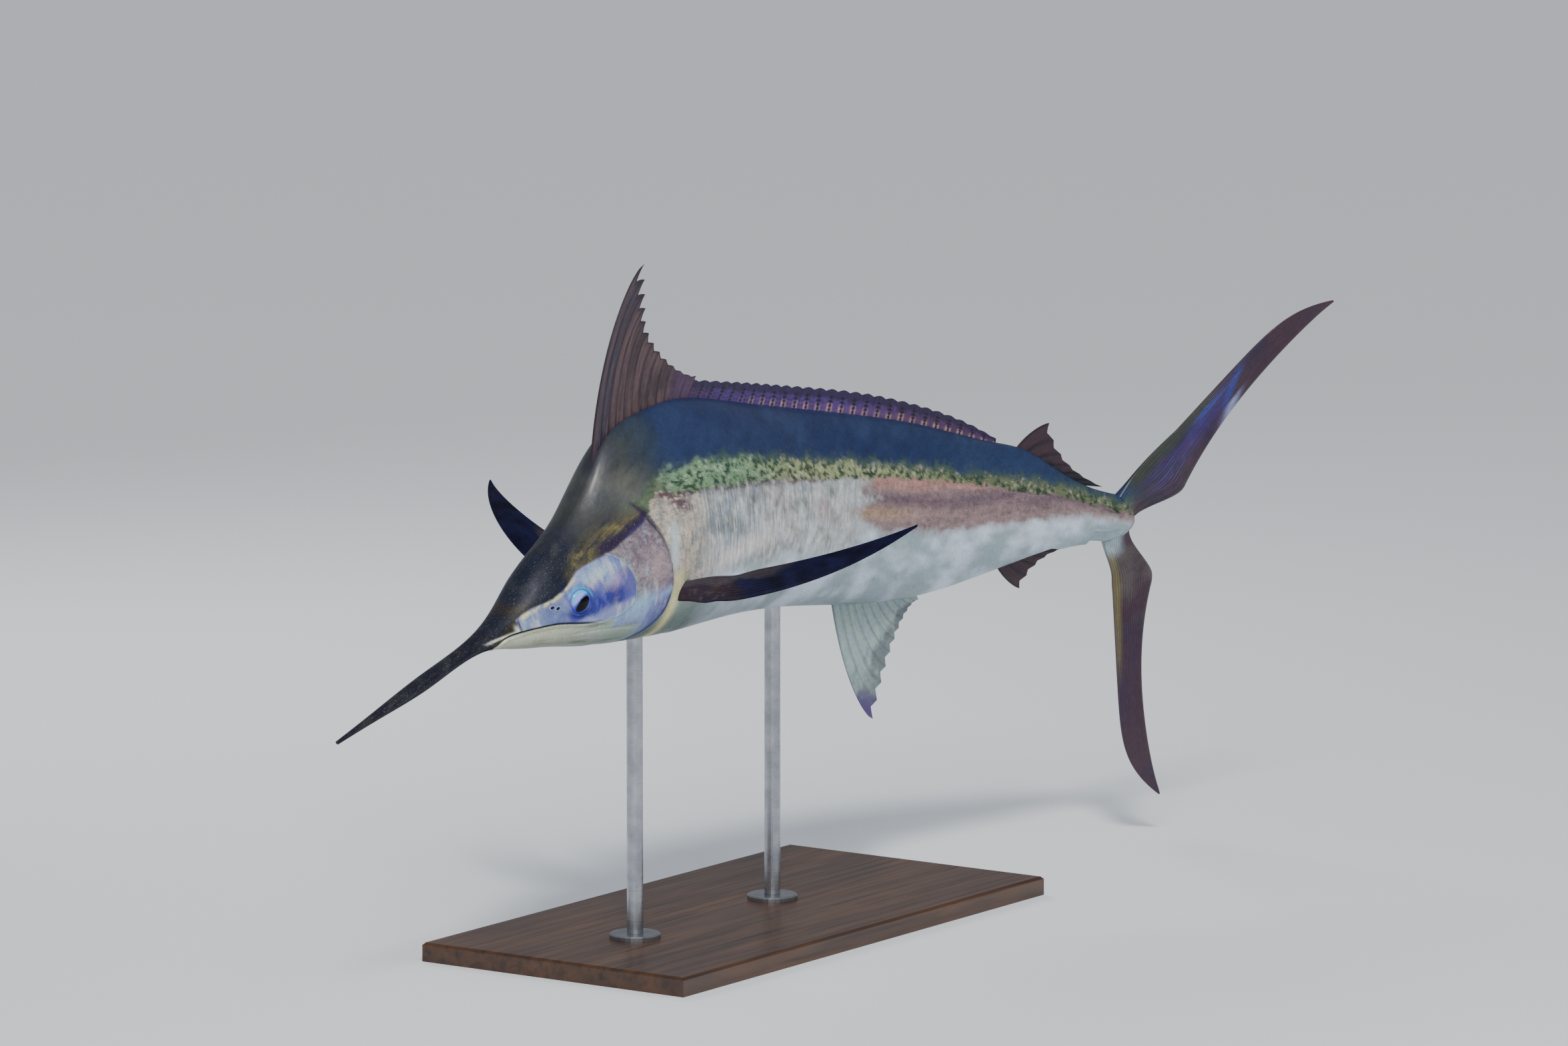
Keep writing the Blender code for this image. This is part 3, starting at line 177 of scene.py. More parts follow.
def linear(r, g, b):
    """Linear colour from screen values of 0 to 255, deepened against the soft light."""
    c = np.array((r, g, b), float) / 255.0
    c = np.where(c <= 0.04045, c / 12.92, ((c + 0.055) / 1.055) ** 2.4)
    grey = float(c @ np.array((0.2126, 0.7152, 0.0722)))
    c = np.clip(grey + (c - grey) * SATURATION, 0.0008, 1.0)
    return np.clip(c * (grey / MIDDLE_GREY) ** DEPTH, 0.0004, 1.0)


# Colours of the fish
BACK = linear(54, 67, 102)
BACK_DEEP = linear(45, 57, 95)
BACK_GREEN = linear(54, 69, 100)
SLATE = linear(62, 72, 84)
NAPE = linear(56, 57, 68)
NAPE_OLIVE = linear(70, 72, 66)
NAPE_PALE = linear(116, 118, 112)
CROWN = linear(34, 40, 62)
CROWN_OLIVE = linear(66, 60, 50)
BILL_BROWN = linear(34, 34, 54)
OLIVE = linear(92, 88, 72)
GOLD = linear(150, 142, 100)
PLUM = linear(58, 46, 74)
GREEN_FRONT = linear(124, 148, 122)
GREEN_MIDDLE = linear(146, 152, 122)
GREEN_DARK = linear(48, 66, 54)
GREEN_PALE = linear(104, 120, 106)
SHADE_GREEN = linear(46, 66, 70)
GREEN_NAPE = linear(88, 98, 80)
FRINGE_GREEN = linear(74, 92, 84)
PLUM_LINE = linear(104, 74, 88)
SILVER = linear(176, 178, 179)
STREAK_BLUE = linear(124, 136, 147)
STREAK_PINK = linear(166, 148, 146)
COPPER = linear(176, 140, 132)
TAN = linear(176, 150, 128)
MAUVE = linear(148, 126, 126)
MAUVE_DARK = linear(108, 88, 102)
BELLY = linear(194, 203, 214)
BELLY_GREEN = linear(150, 164, 168)
# Painted shade for the underside and the creases of the jaw, throat and belly.
JAW_SHADE = linear(104, 118, 118)
THROAT = linear(176, 190, 176)
JAW_CREAM = linear(196, 198, 180)
JAW_WHITE = linear(212, 214, 208)
JAW_GREEN = linear(130, 144, 118)
CHEEK = linear(104, 108, 180)
CHEEK_PALE = linear(156, 162, 196)
CHEEK_CREAM = linear(206, 202, 196)
CHEEK_ROSE = linear(178, 158, 190)
VIVID = linear(56, 60, 158)
VIOLET = linear(88, 84, 156)
CYAN = linear(84, 176, 216)
PALE_CYAN = linear(156, 188, 202)
COVER_PINK = linear(132, 120, 130)
COVER_GREY = linear(156, 148, 152)
COVER_ROSE = linear(184, 164, 164)
COVER_BLUE = linear(152, 166, 202)
FLANK_OLIVE = linear(132, 138, 122)
SHOULDER = linear(196, 182, 168)
SHOULDER_GREY = linear(150, 152, 144)
WHITE_PATCH = linear(216, 210, 206)
STRIP = linear(190, 200, 204)
GOLD_LINE = linear(214, 208, 166)
LIP_SILVER = linear(134, 146, 176)
LIP_BLUE = linear(92, 98, 160)
SLIT = linear(40, 36, 46)
LOBE_COLOUR = linear(100, 80, 82)
LOBE_SLATE = linear(58, 56, 78)
LOBE_RAY = linear(52, 36, 46)
LOBE_THREAD = linear(132, 108, 104)
LOW_VIOLET = linear(92, 68, 134)
LOW_PURPLE = linear(88, 62, 100)
LOW_TOP = linear(52, 42, 78)
LOW_SPOT = linear(32, 24, 52)
LOW_STREAK = linear(190, 158, 150)
FIN_NAVY = linear(36, 38, 76)
FIN_INK = linear(20, 21, 44)
# Painted sheen and glints on the pectoral fins.
FIN_SHEEN = linear(84, 80, 84)
FIN_ROOT = linear(72, 58, 62)
MAROON = linear(70, 48, 58)
TAIL_BROWN = linear(78, 54, 68)
TAIL_VIOLET = linear(66, 52, 128)
TAIL_BLUE = linear(58, 88, 178)
TAIL_MAUVE = linear(112, 84, 116)
TAIL_PALE = linear(150, 156, 190)
TAIL_OLIVE = linear(62, 72, 60)
TAIL_GREY = linear(110, 104, 98)
TAIL_STRAW = linear(126, 118, 84)
ANAL_PALE = linear(158, 172, 168)
ANAL_TIP = linear(90, 74, 128)
ANAL_RAY = linear(106, 118, 118)
ANAL_GREY = linear(88, 92, 96)


def natural_spline(xs, ys):
    """Smooth curve through the given points."""
    x = np.asarray(xs, float)
    y = np.asarray(ys, float)
    n = len(x)
    step = np.diff(x)
    rows = np.zeros((n, n))
    right = np.zeros(n)
    rows[0, 0] = 1.0
    rows[-1, -1] = 1.0
    for i in range(1, n - 1):
        rows[i, i - 1] = step[i - 1]
        rows[i, i] = 2.0 * (step[i - 1] + step[i])
        rows[i, i + 1] = step[i]
        right[i] = 6.0 * ((y[i + 1] - y[i]) / step[i] - (y[i] - y[i - 1]) / step[i - 1])
    curve = np.linalg.solve(rows, right)

    def value(at):
        a = np.clip(np.asarray(at, float), x[0], x[-1])
        k = np.clip(np.searchsorted(x, a) - 1, 0, n - 2)
        h = step[k]
        p = (x[k + 1] - a) / h
        q = (a - x[k]) / h
        bend = ((p ** 3 - p) * curve[k] + (q ** 3 - q) * curve[k + 1]) * h * h / 6.0
        return p * y[k] + q * y[k + 1] + bend

    return value


top_height = natural_spline(OUTLINE_STATIONS, TOP_HEIGHT)
bottom_depth = natural_spline(OUTLINE_STATIONS, BOTTOM_DEPTH)
half_width = natural_spline(OUTLINE_STATIONS, HALF_WIDTH)
top_power = natural_spline(POWER_STATIONS, TOP_POWER)
bottom_power = natural_spline(POWER_STATIONS, BOTTOM_POWER)
mouth_height = natural_spline(MOUTH_STATIONS, MOUTH_HEIGHT)
cover_station = natural_spline(COVER_HEIGHTS, COVER_STATIONS)
low_height = natural_spline(LOW_STATIONS, LOW_HEIGHT)


def ease(a):
    """Ramp from 0 to 1 with level ends."""
    t = np.clip(a, 0.0, 1.0)
    return t * t * (3.0 - 2.0 * t)


def rising(a, start, length):
    """Ramp from 0 at the start to 1 a length beyond it."""
    return ease((a - start) / length)


def falling(a, end, length):
    """Ramp from 1 a length before the end to 0 at it."""
    return ease((end - a) / length)


def bump(a, spread):
    """Bell of height 1 about 0."""
    return np.exp(-(np.asarray(a) / spread) ** 2)


def make_centre_line():
    """Stations with the place and the three directions of the bent centre line."""
    s = np.linspace(*LINE_RANGE, LINE_COUNT)
    held = np.clip(s, BEND_STATIONS[0], BEND_STATIONS[-1])
    yaw = np.radians(natural_spline(BEND_STATIONS, BEND_YAW)(held))
    pitch = np.radians(natural_spline(BEND_STATIONS, BEND_PITCH)(held))
    roll = np.radians(natural_spline(BEND_STATIONS, BEND_ROLL)(held))
    cos_p = np.cos(pitch)
    fore = np.stack([-np.cos(yaw) * cos_p, -np.sin(yaw) * cos_p, np.sin(pitch)], -1)
    level = np.stack([np.sin(yaw), -np.cos(yaw), 0.0 * yaw], -1)
    over = np.cross(fore, level)
    left = level * np.cos(roll)[:, None] + over * np.sin(roll)[:, None]
    up = over * np.cos(roll)[:, None] - level * np.sin(roll)[:, None]
    step = s[1] - s[0]
    spots = np.vstack([np.zeros(3), np.cumsum(-(fore[1:] + fore[:-1]) / 2.0 * step, axis=0)])
    middle = int(np.argmin(np.abs(s - MID_STATION)))
    return s, spots - spots[middle], left, up


LINE_S, LINE_P, LINE_L, LINE_U = make_centre_line()


def along(table, s):
    """Values of a centre line table at stations s."""
    return np.stack([np.interp(s, LINE_S, table[:, k]) for k in range(3)], -1)


def place(s, y, z):
    """World places in metres of body places."""
    s = np.asarray(s, float)
    y = np.asarray(y, float)
    z = np.asarray(z, float)
    spot = along(LINE_P, s) + along(LINE_L, s) * y[..., None] + along(LINE_U, s) * z[..., None]
    return spot * UNIT + np.array([BODY_SHIFT_X, 0.0, AXIS_HEIGHT])


def crest_half(s):
    """Half width of the flat line along the back and the belly."""
    return BILL_CREST_HALF + (CREST_HALF - BILL_CREST_HALF) * rising(s, 0.02, 0.12)


def groove_share(s):
    """1 where the groove under the belly has its full size, 0 outside it."""
    return rising(s, GROOVE_SPAN[0], GROOVE_RAMP) * falling(s, GROOVE_SPAN[1], GROOVE_RAMP)


def belly_half(s):
    """Half width of the flat line under the belly, wider where the pelvic fins lie."""
    return crest_half(s) + (GROOVE_HALF - CREST_HALF) * groove_share(s)


def section(s, over):
    """Power, reach and flat half width of the section at stations s, over or under its middle."""
    power = np.where(over, top_power(s), bottom_power(s))
    reach = np.where(over, top_height(s), bottom_depth(s))
    flat = np.where(over, crest_half(s), belly_half(s))
    return power, reach, flat


def side_point(s, angle):
    """Offset and height of the skin on the left side; angle 90 is the back, -90 the belly."""
    s = np.asarray(s, float)
    a = np.radians(angle)
    power, reach, flat = section(s, angle >= 0.0)
    cos_a = np.clip(np.cos(a), 0.0, 1.0)
    sin_a = np.clip(np.abs(np.sin(a)), 0.0, 1.0)
    y = flat + (half_width(s) - flat) * cos_a ** (2.0 / power)
    z = np.sign(angle) * reach * sin_a ** (2.0 / power)
    return y, z


def surface_offset(s, z):
    """Offset of the skin at station s and height z."""
    s = np.asarray(s, float)
    z = np.asarray(z, float)
    power, reach, flat = section(s, z >= 0.0)
    share = np.clip(np.abs(z) / reach, 0.0, 1.0)
    return flat + (half_width(s) - flat) * (1.0 - share ** power) ** (1.0 / power)


def base_line(s, lower=False):
    """Height of the back, or depth of the belly, on the middle line."""
    return bottom_depth(s) if lower else top_height(s)


def mouth_line(s):
    """Height of the mouth's slit at a station."""
    return mouth_height(np.clip(s, 0.0, MOUTH_STATIONS[-1]))


def cover_edge(angle):
    """Station of the gill cover's rear edge for an angle of the section."""
    held = np.clip(angle, COVER_ANGLE_LOW, COVER_ANGLE_TOP)
    share = np.sign(held) * np.abs(np.sin(np.radians(held))) ** (2.0 / COVER_POWER)
    return cover_station(share)


def stalk_end(share):
    """Station of the rear end of the tail stalk at a share of its height."""
    return STALK_TOP_END + (STALK_MIDDLE_END - STALK_TOP_END) * (1.0 - np.abs(share) ** STALK_END_POWER)


def lattice_noise(x, y, seed):
    """Smooth noise from -1 to 1 over a plane, the same on each run."""
    x = np.asarray(x, float)
    y = np.asarray(y, float)
    left = np.floor(x).astype(np.int64)
    low = np.floor(y).astype(np.int64)
    fx = ease(x - left)
    fy = ease(y - low)

    def corner(i, j):
        mixed = (i * 374761393 + j * 668265263 + seed * 974634777) & 0x7FFFFFFF
        mixed = ((mixed ^ (mixed >> 13)) * 1274126177) & 0x7FFFFFFF
        return ((mixed ^ (mixed >> 16)) & 0xFFFF) / 32767.5 - 1.0

    lower = corner(left, low) * (1.0 - fx) + corner(left + 1, low) * fx
    upper = corner(left, low + 1) * (1.0 - fx) + corner(left + 1, low + 1) * fx
    return lower * (1.0 - fy) + upper * fy


def noise(x, y, seed, layers=3):
    """Noise with finer layers on top."""
    total = 0.0
    weight = 1.0
    norm = 0.0
    for k in range(layers):
        x, y = 0.80 * x - 0.60 * y, 0.60 * x + 0.80 * y
        total = total + weight * lattice_noise(x * 2 ** k, y * 2 ** k, seed + k)
        norm += weight
        weight *= 0.55
    return total / norm


def mix(a, b, share):
    """Blend of two colours or colour tables."""
    share = np.asarray(share, float)[..., None]
    return a * (1.0 - share) + b * share


def shade(tone, share):
    """Colour table made lighter or darker by a share."""
    return tone * (1.0 + share)[..., None]


def over_line(s, z, stations, heights, soft, wave=0.0):
    """1 above a border and 0 below it."""
    return ease((z + wave - np.interp(s, stations, heights)) / soft + 0.5)


def cheek_range(s, z):
    """1 on the curved edge of the cheek plate in front of the gill cover, less inside it."""
    a = np.abs(s - CHEEK_CENTRE[0]) / CHEEK_REACH[0]
    over = z >= CHEEK_CENTRE[1]
    b = np.abs(z - CHEEK_CENTRE[1]) / np.where(over, CHEEK_REACH[1], CHEEK_REACH[2])
    power = np.where(over, 2.0, 4.0)
    return (a ** power + b ** power) ** (1.0 / power)


class Side:
    """Places on the side of the fish with the noise and the borders that its markings share."""

    def __init__(self, s, z):
        self.s = s
        self.z = z
        self.broad = noise(s * 26.0, z * 40.0, 11)
        self.middle = noise(s * 90.0, z * 110.0, 23)
        self.fine = noise(s * 260.0, z * 300.0, 37)
        self.tall = noise(s * 210.0, z * 22.0, 41)
        self.flowing = noise(s * 16.0, z * 130.0, 53)
        self.brushed = noise(s * 170.0, z * 60.0, 67)
        self.ragged = noise(s * 130.0, z * 90.0, 127)
        self.mouth = mouth_line(s) - MOUTH_FALL * np.clip(s - MOUTH_STATIONS[-1], 0.0, 1.0)
        self.border = z - np.interp(s, DARK_STATIONS, DARK_HEIGHTS)
        self.olive_line = z - np.interp(s, OLIVE_STATIONS, OLIVE_HEIGHTS)
        self.far = cheek_range(s, z)
        behind = s - 0.548 + 0.030 * bump(z - 0.006, 0.009) - 0.03 * self.middle
        self.behind = ease(behind / 0.05)
        wave = 0.005 * self.middle + 0.002 * self.fine
        self.copper = over_line(s, z, COPPER_STATIONS, COPPER_LOW, 0.012, wave) * self.behind
        self.wave = 0.0036 * self.middle + 0.0030 * self.fine
        self.above = over_line(s, z, GREEN_TOP_STATIONS, GREEN_TOP, 0.010, 1.4 * self.wave)
        self.below = over_line(s, z, GREEN_LOW_STATIONS, GREEN_LOW, 0.0035, self.wave)
        self.pale = ease((0.300 - s + 0.015 * self.middle) / 0.05)
        low = ease((-0.022 - z + 0.004 * self.middle) / 0.022)
        self.low = np.maximum(low, (1.0 - self.copper) * self.behind * falling(z, 0.012, 0.02))
        self.dark = over_line(s, z, DARK_STATIONS, DARK_HEIGHTS, 0.0028, 0.0012 * self.middle)
        self.inside = ease((1.0 - self.far) / 0.07)


def back_tone(side):
    """Back, crown of the head and bill."""
    s, z, broad = side.s, side.z, side.broad
    tone = mix(BACK, BACK_DEEP, ease(0.5 + 0.8 * broad))
    tone = mix(tone, BACK_GREEN, 0.6 * rising(s, 0.58, 0.2))
    tone = mix(tone, SLATE, 0.9 * ease((0.275 - s + 0.02 * broad) / 0.05))
    nape = ease((0.235 - s + 0.02 * broad) / 0.05)
    tone = mix(tone, mix(NAPE, NAPE_OLIVE, ease(0.5 + 1.2 * broad)), nape * 0.9)
    tone = mix(tone, NAPE_PALE, 0.55 * bump(s - 0.196, 0.022) * falling(z, 0.105, 0.02))
    tone = mix(tone, CROWN, falling(s, 0.150, 0.05))
    tone = mix(tone, CROWN_OLIVE, 0.8 * bump(s - 0.040, 0.012) * falling(z, 0.024, 0.006))
    tone = mix(tone, BILL_BROWN, falling(s, 0.030, 0.04))
    grain = noise(s * 40.0 + z * 30.0, (z - 0.45 * s) * 300.0, 117)
    tone = mix(tone, NAPE_OLIVE, 0.35 * nape * ease(1.8 * grain))
    brush = noise(s * 110.0 - z * 170.0, s * 26.0 + z * 34.0, 131)
    return shade(tone, 0.12 * side.middle + 0.08 * side.fine + 0.30 * grain * nape + 0.20 * brush)


def copper_tone(side):
    """Rusty stripe along the rear half of the flank."""
    s, z, broad = side.s, side.z, side.broad
    tone = mix(MAUVE, COPPER, ease((z - 0.026 + 0.006 * side.middle) / 0.006))
    dusk = bump(z - 0.0190 - 0.002 * broad, 0.0075) * rising(s, 0.54, 0.04)
    tone = mix(tone, MAUVE_DARK, 0.80 * dusk)
    tan = bump(z - 0.0060 - 0.003 * broad, 0.0065) * falling(s, 0.68, 0.08)
    tone = mix(tone, TAN, np.clip(0.80 * tan + 0.30 * ease(0.9 * side.flowing), 0.0, 1.0))
    return shade(tone, 0.46 * side.fine + 0.36 * side.flowing)


def belly_tone(side):
    """Pale belly with painted shade under the throat, below the pectoral root and along the underside."""
    s, z = side.s, side.z
    tone = mix(BELLY, BELLY_GREEN, ease(0.5 + 1.1 * side.broad))
    tone = mix(tone, THROAT, falling(s, 0.300, 0.05) * 0.8)
    # Painted shade under the throat and the pectoral root, then along the underside of the belly.
    tone = mix(tone, JAW_SHADE, 0.60 * falling(s, 0.330, 0.05) * falling(z, -0.036, 0.014))
    tone = mix(tone, JAW_SHADE, 0.40 * falling(s, 0.480, 0.10) * falling(z, -0.046, 0.018))
    return shade(tone, 0.05 * side.fine + 0.08 * side.flowing)


def flank_tone(side):
    """Flank and belly, from the gill cover to the tail."""
    s, z, middle, fine, copper = side.s, side.z, side.middle, side.fine, side.copper
    streaks = ease(0.15 + 1.3 * side.tall)
    tone = mix(SILVER, STREAK_BLUE, streaks * (0.35 + 0.50 * bump(s - 0.335, 0.045)))
    tone = mix(tone, STREAK_BLUE, 0.55 * bump(s - 0.330, 0.032) * bump(z - 0.018, 0.030))
    tone = mix(tone, STREAK_PINK, ease(0.1 + 1.5 * side.broad) * 0.55 * rising(s, 0.36, 0.05))
    tone = shade(tone, 0.18 * fine + 0.12 * middle)
    tone = mix(tone, copper_tone(side), copper * 0.94)
    tone = mix(tone, mix(SHOULDER, SHOULDER_GREY, ease(0.25 + 1.8 * fine)), side.pale * 0.9)
    blotch = noise(s * 75.0 + z * 30.0, z * 85.0, 139)
    patchy = rising(s, 0.27, 0.03) * (1.0 - copper)
    tone = mix(tone, FLANK_OLIVE, 0.60 * patchy * ease(1.8 * blotch - 0.15))
    tone = shade(tone, -0.26 * patchy * blotch)
    scratch = noise((s - 0.45 * z) * 360.0, (z + 0.30 * s) * 48.0, 137)
    tone = shade(tone, 0.42 * scratch * (1.0 - 0.6 * copper))
    for colour, way in ((WHITE_PATCH, 1.9), (STREAK_BLUE, -1.9)):
        tone = mix(tone, colour, 0.55 * ease(way * side.ragged - 0.25) * falling(s, 0.52, 0.06))
    # Painted highlight: a white band along the flank behind the pectoral fin.
    painted_highlight = bump(z + 0.016 - 0.10 * (s - 0.33), 0.010) * bump(s - 0.345, 0.060)
    tone = mix(tone, WHITE_PATCH, 0.75 * painted_highlight)
    strip = bump(s - 0.2305 - 0.15 * (z - 0.015), 0.0058) * falling(z, 0.042, 0.01)
    tone = mix(tone, STRIP, 0.90 * strip * rising(z, -0.012, 0.01))
    tone = mix(tone, belly_tone(side), side.low)
    cream = bump(s - 0.2340 - 0.18 * (z + 0.03), 0.0070) * falling(z, -0.004, 0.012)
    return mix(tone, GOLD_LINE, 0.85 * cream)


def green_tone(side):
    """Speckled green band under the back."""
    s, middle, fine = side.s, side.middle, side.fine
    tone = mix(GREEN_FRONT, GREEN_MIDDLE, ease((s - 0.34 + 0.02 * side.broad) / 0.12))
    tone = mix(tone, GREEN_DARK, 0.60 * rising(s, 0.56, 0.2))
    tone = mix(tone, GREEN_PALE, falling(s, 0.255, 0.06) * 0.7)
    tone = mix(tone, GREEN_DARK, 0.90 * ease(2.8 * fine + 1.0 * middle + 0.06))
    tone = mix(tone, WHITE_PATCH, 0.30 * ease(-2.4 * fine + 0.6 * side.ragged - 0.70))
    tone = mix(tone, SHADE_GREEN, 0.70 * ease(1.5 * side.tall + 0.9 * fine - 0.25))
    return mix(tone, GREEN_NAPE, 0.75 * ease((0.252 - s + 0.012 * side.broad) / 0.035))


def body_tone(side, upper):
    """Body behind the head: flank, green band with its plum edge, and back."""
    s, z, fine, wave = side.s, side.z, side.fine, side.wave
    line = np.interp(s, GREEN_LOW_STATIONS, GREEN_LOW)
    plum = bump(z - 0.001 + wave - line, 0.0040) * falling(s, 0.56, 0.12) * rising(s, 0.205, 0.02)
    patch = bump(s - 0.246, 0.017) * bump(z - line + 0.006 + 0.35 * (s - 0.243), 0.0095)
    patch = patch * ease(0.95 + 2.2 * fine + 1.0 * side.ragged)
    edge = np.clip(plum * ease(0.75 + fine) * 0.85 + patch * 1.2, 0.0, 0.92)
    flank = mix(flank_tone(side), PLUM_LINE, edge)
    fringe = z - np.interp(s, GREEN_TOP_STATIONS, GREEN_TOP) + 2.0 * wave
    fringe = falling(fringe, 0.013, 0.010) * rising(s, 0.24, 0.04)
    fringed = mix(upper, FRINGE_GREEN, 0.90 * fringe * ease(0.52 + 2.2 * fine + 1.0 * side.tall))
    tone = mix(flank, mix(green_tone(side), fringed, side.above), side.below)
    return mix(tone, PLUM_LINE, 0.40 * plum * ease(0.6 + 1.2 * fine)), fringed


def cover_tone(side):
    """Gill cover."""
    s, z, broad, middle, brushed = side.s, side.z, side.broad, side.middle, side.brushed
    tone = mix(COVER_PINK, COVER_GREY, ease(0.5 + 0.8 * side.fine + 0.6 * broad))
    tone = mix(tone, COVER_BLUE, ease((-0.012 - z + 0.006 * broad) / 0.016))
    tone = mix(tone, PALE_CYAN, 0.80 * bump(s - 0.179, 0.012) * bump(z + 0.026, 0.012))
    tone = mix(tone, VIOLET, 0.70 * falling(z, -0.024, 0.012) * rising(s, 0.190, 0.016))
    tone = mix(tone, COVER_ROSE, 0.75 * bump(s - 0.203, 0.014) * bump(z - 0.003, 0.016))
    tone = mix(tone, PALE_CYAN, 0.45 * ease(2.2 * brushed + 0.6 * middle - 0.70))
    tone = mix(tone, COVER_GREY, 0.50 * ease(-2.0 * brushed + 0.8 * middle - 0.60))
    wash = noise(s * 240.0, z * 42.0, 71)
    lower = falling(z, -0.004, 0.010)
    tone = mix(tone, JAW_WHITE, 0.50 * lower * ease(1.9 * wash - 0.30))
    tone = mix(tone, VIOLET, 0.55 * lower * ease(-1.9 * wash - 0.35) * rising(s, 0.175, 0.02))
    return shade(tone, 0.14 * middle + 0.10 * side.fine)


def cheek_tone(side):
    """Cheek plate with the eye's surroundings, and the upper lip."""
    s, z, middle, brushed = side.s, side.z, side.middle, side.brushed
    eye_x = s - EYE_STATION
    eye_z = z - EYE_HEIGHT
    eye_range = np.sqrt(eye_x * eye_x + eye_z * eye_z)
    tone = mix(CHEEK, CHEEK_PALE, ease(0.35 + 1.1 * brushed + 22.0 * (z - 0.014)))
    tone = mix(tone, COVER_PINK, 0.5 * ease(1.5 * side.broad - 0.1) * rising(s, 0.125, 0.02))
    blue = bump(z + 0.004 + 0.10 * (s - 0.13), 0.0125) * rising(s, 0.084, 0.012) * falling(s, 0.168, 0.03)
    tone = mix(tone, VIVID, np.clip(blue * (0.95 + 1.6 * brushed), 0.0, 0.92))
    tone = mix(tone, COVER_PINK, 0.45 * ease(1.8 * middle + 0.8 * brushed - 0.35))
    tone = mix(tone, VIVID, 0.75 * bump(eye_range - 0.0150, 0.0045) * falling(eye_z, 0.004, 0.010))
    slanted = bump(s - 0.1390, 0.011) * bump(z - 0.0120 - 0.4 * (s - 0.139), 0.0050)
    tone = mix(tone, CHEEK_PALE, 0.75 * slanted)
    tone = mix(tone, CHEEK_PALE, 0.75 * ease((-0.010 - z + 0.004 * middle) / 0.009))
    rose = bump(s - 0.148, 0.008) * bump(z - 0.0080, 0.008) * ease(0.6 + middle)
    tone = mix(tone, CHEEK_ROSE, 0.60 * rose)
    tone = mix(tone, PALE_CYAN, 0.9 * bump(z - 0.0225, 0.0060) * bump(s - 0.130, 0.022))
    tone = mix(tone, PALE_CYAN, 0.65 * bump(side.far - 0.92, 0.10) * falling(z, -0.014, 0.006))
    over_eye = bump(eye_range - 0.0136, 0.0012) * ease((eye_z - 0.002 + 0.3 * eye_x) / 0.006)
    tone = mix(tone, CYAN, 0.8 * over_eye)
    tone = mix(tone, JAW_WHITE, 0.40 * falling(z, -0.012, 0.008) * ease(1.9 * brushed - 0.2))
    cream = bump(z - 0.0180 - 0.20 * (s - 0.12), 0.0065) * rising(s, 0.108, 0.01)
    tone = mix(tone, CHEEK_CREAM, 0.60 * cream * ease(0.55 + 1.6 * brushed))
    lips = mix(LIP_SILVER, LIP_BLUE, bump(s - 0.074, 0.012) * ease(0.6 + middle) * 0.8)
    lips = mix(lips, JAW_WHITE, 0.45 * ease(1.4 * brushed + 0.2) * falling(s, 0.072, 0.02))
    return mix(tone, lips, falling(s, 0.092, 0.012) * 0.9)


def jaw_tone(side):
    """Lower jaw and throat with their folds, with painted shade in the creases and underneath."""
    s, z, below_mouth = side.s, side.z, side.mouth - side.z
    tone = mix(JAW_CREAM, THROAT, rising(s, 0.05, 0.12))
    folds = noise((z + 0.30 * s) * 210.0, s * 22.0, 61)
    tone = mix(tone, JAW_WHITE, 0.8 * bump(s - 0.112, 0.035) * ease(0.35 + 1.4 * folds))
    tone = mix(tone, JAW_GREEN, 0.75 * ease(1.7 * folds - 0.1) * rising(s, 0.035, 0.03))
    tone = mix(tone, JAW_GREEN, 0.60 * bump(below_mouth - 0.0026, 0.0012) * rising(s, 0.020, 0.02))
    # Painted shade in the creases of the throat and towards the bottom of the jaw.
    crease = ease(2.2 * noise((z + 0.22 * s) * 330.0, s * 16.0, 151) - 0.45)
    tone = mix(tone, JAW_SHADE, 0.60 * crease * rising(s, 0.085, 0.03))
    tone = mix(tone, JAW_SHADE, 0.45 * ease((-0.62 - z / bottom_depth(s)) / 0.25))
    tone = shade(tone, 0.08 * side.broad + 0.05 * side.middle)
    share = ease((below_mouth + 0.0008) / 0.0016) * falling(s, 0.150, 0.01)
    rear = ease((below_mouth - 0.006 + 0.003 * side.broad) / 0.010)
    return tone, np.maximum(share, rear * rising(s, 0.135, 0.01) * falling(s, 0.200, 0.03))


def head_top_tone(side, upper):
    """Dark top of the head with its olive, gold and plum bands."""
    s, z, fine, border, olive_line = side.s, side.z, side.fine, side.border, side.olive_line
    olive = bump(olive_line, 0.0100) * rising(s, 0.090, 0.014) * falling(s, 0.214, 0.010)
    combed = noise(s * 60.0 + z * 40.0, (z - 0.35 * s) * 420.0, 113)
    tone = mix(upper, OLIVE, np.clip(1.05 * olive * ease(0.90 + 1.2 * combed), 0.0, 0.90))
    gold = bump(olive_line + 0.001, 0.0052) * rising(s, 0.140, 0.03) * falling(s, 0.206, 0.008)
    tone = mix(tone, GOLD, 0.62 * gold * ease(0.30 + 1.9 * combed + 0.5 * fine))
    glint = bump(s - 0.121, 0.012) * bump(border - 0.006, 0.006) * ease(0.3 + 1.6 * fine)
    tone = mix(tone, GOLD, 0.50 * glint)
    plum = bump(border - 0.0045, 0.0062) * rising(s, 0.132, 0.016) * falling(s, 0.222, 0.008)
    tone = mix(tone, PLUM, np.clip(1.1 * plum, 0.0, 0.95))
    return mix(tone, VIOLET, 0.28 * bump(border - 0.0010, 0.0022) * rising(s, 0.165, 0.02))


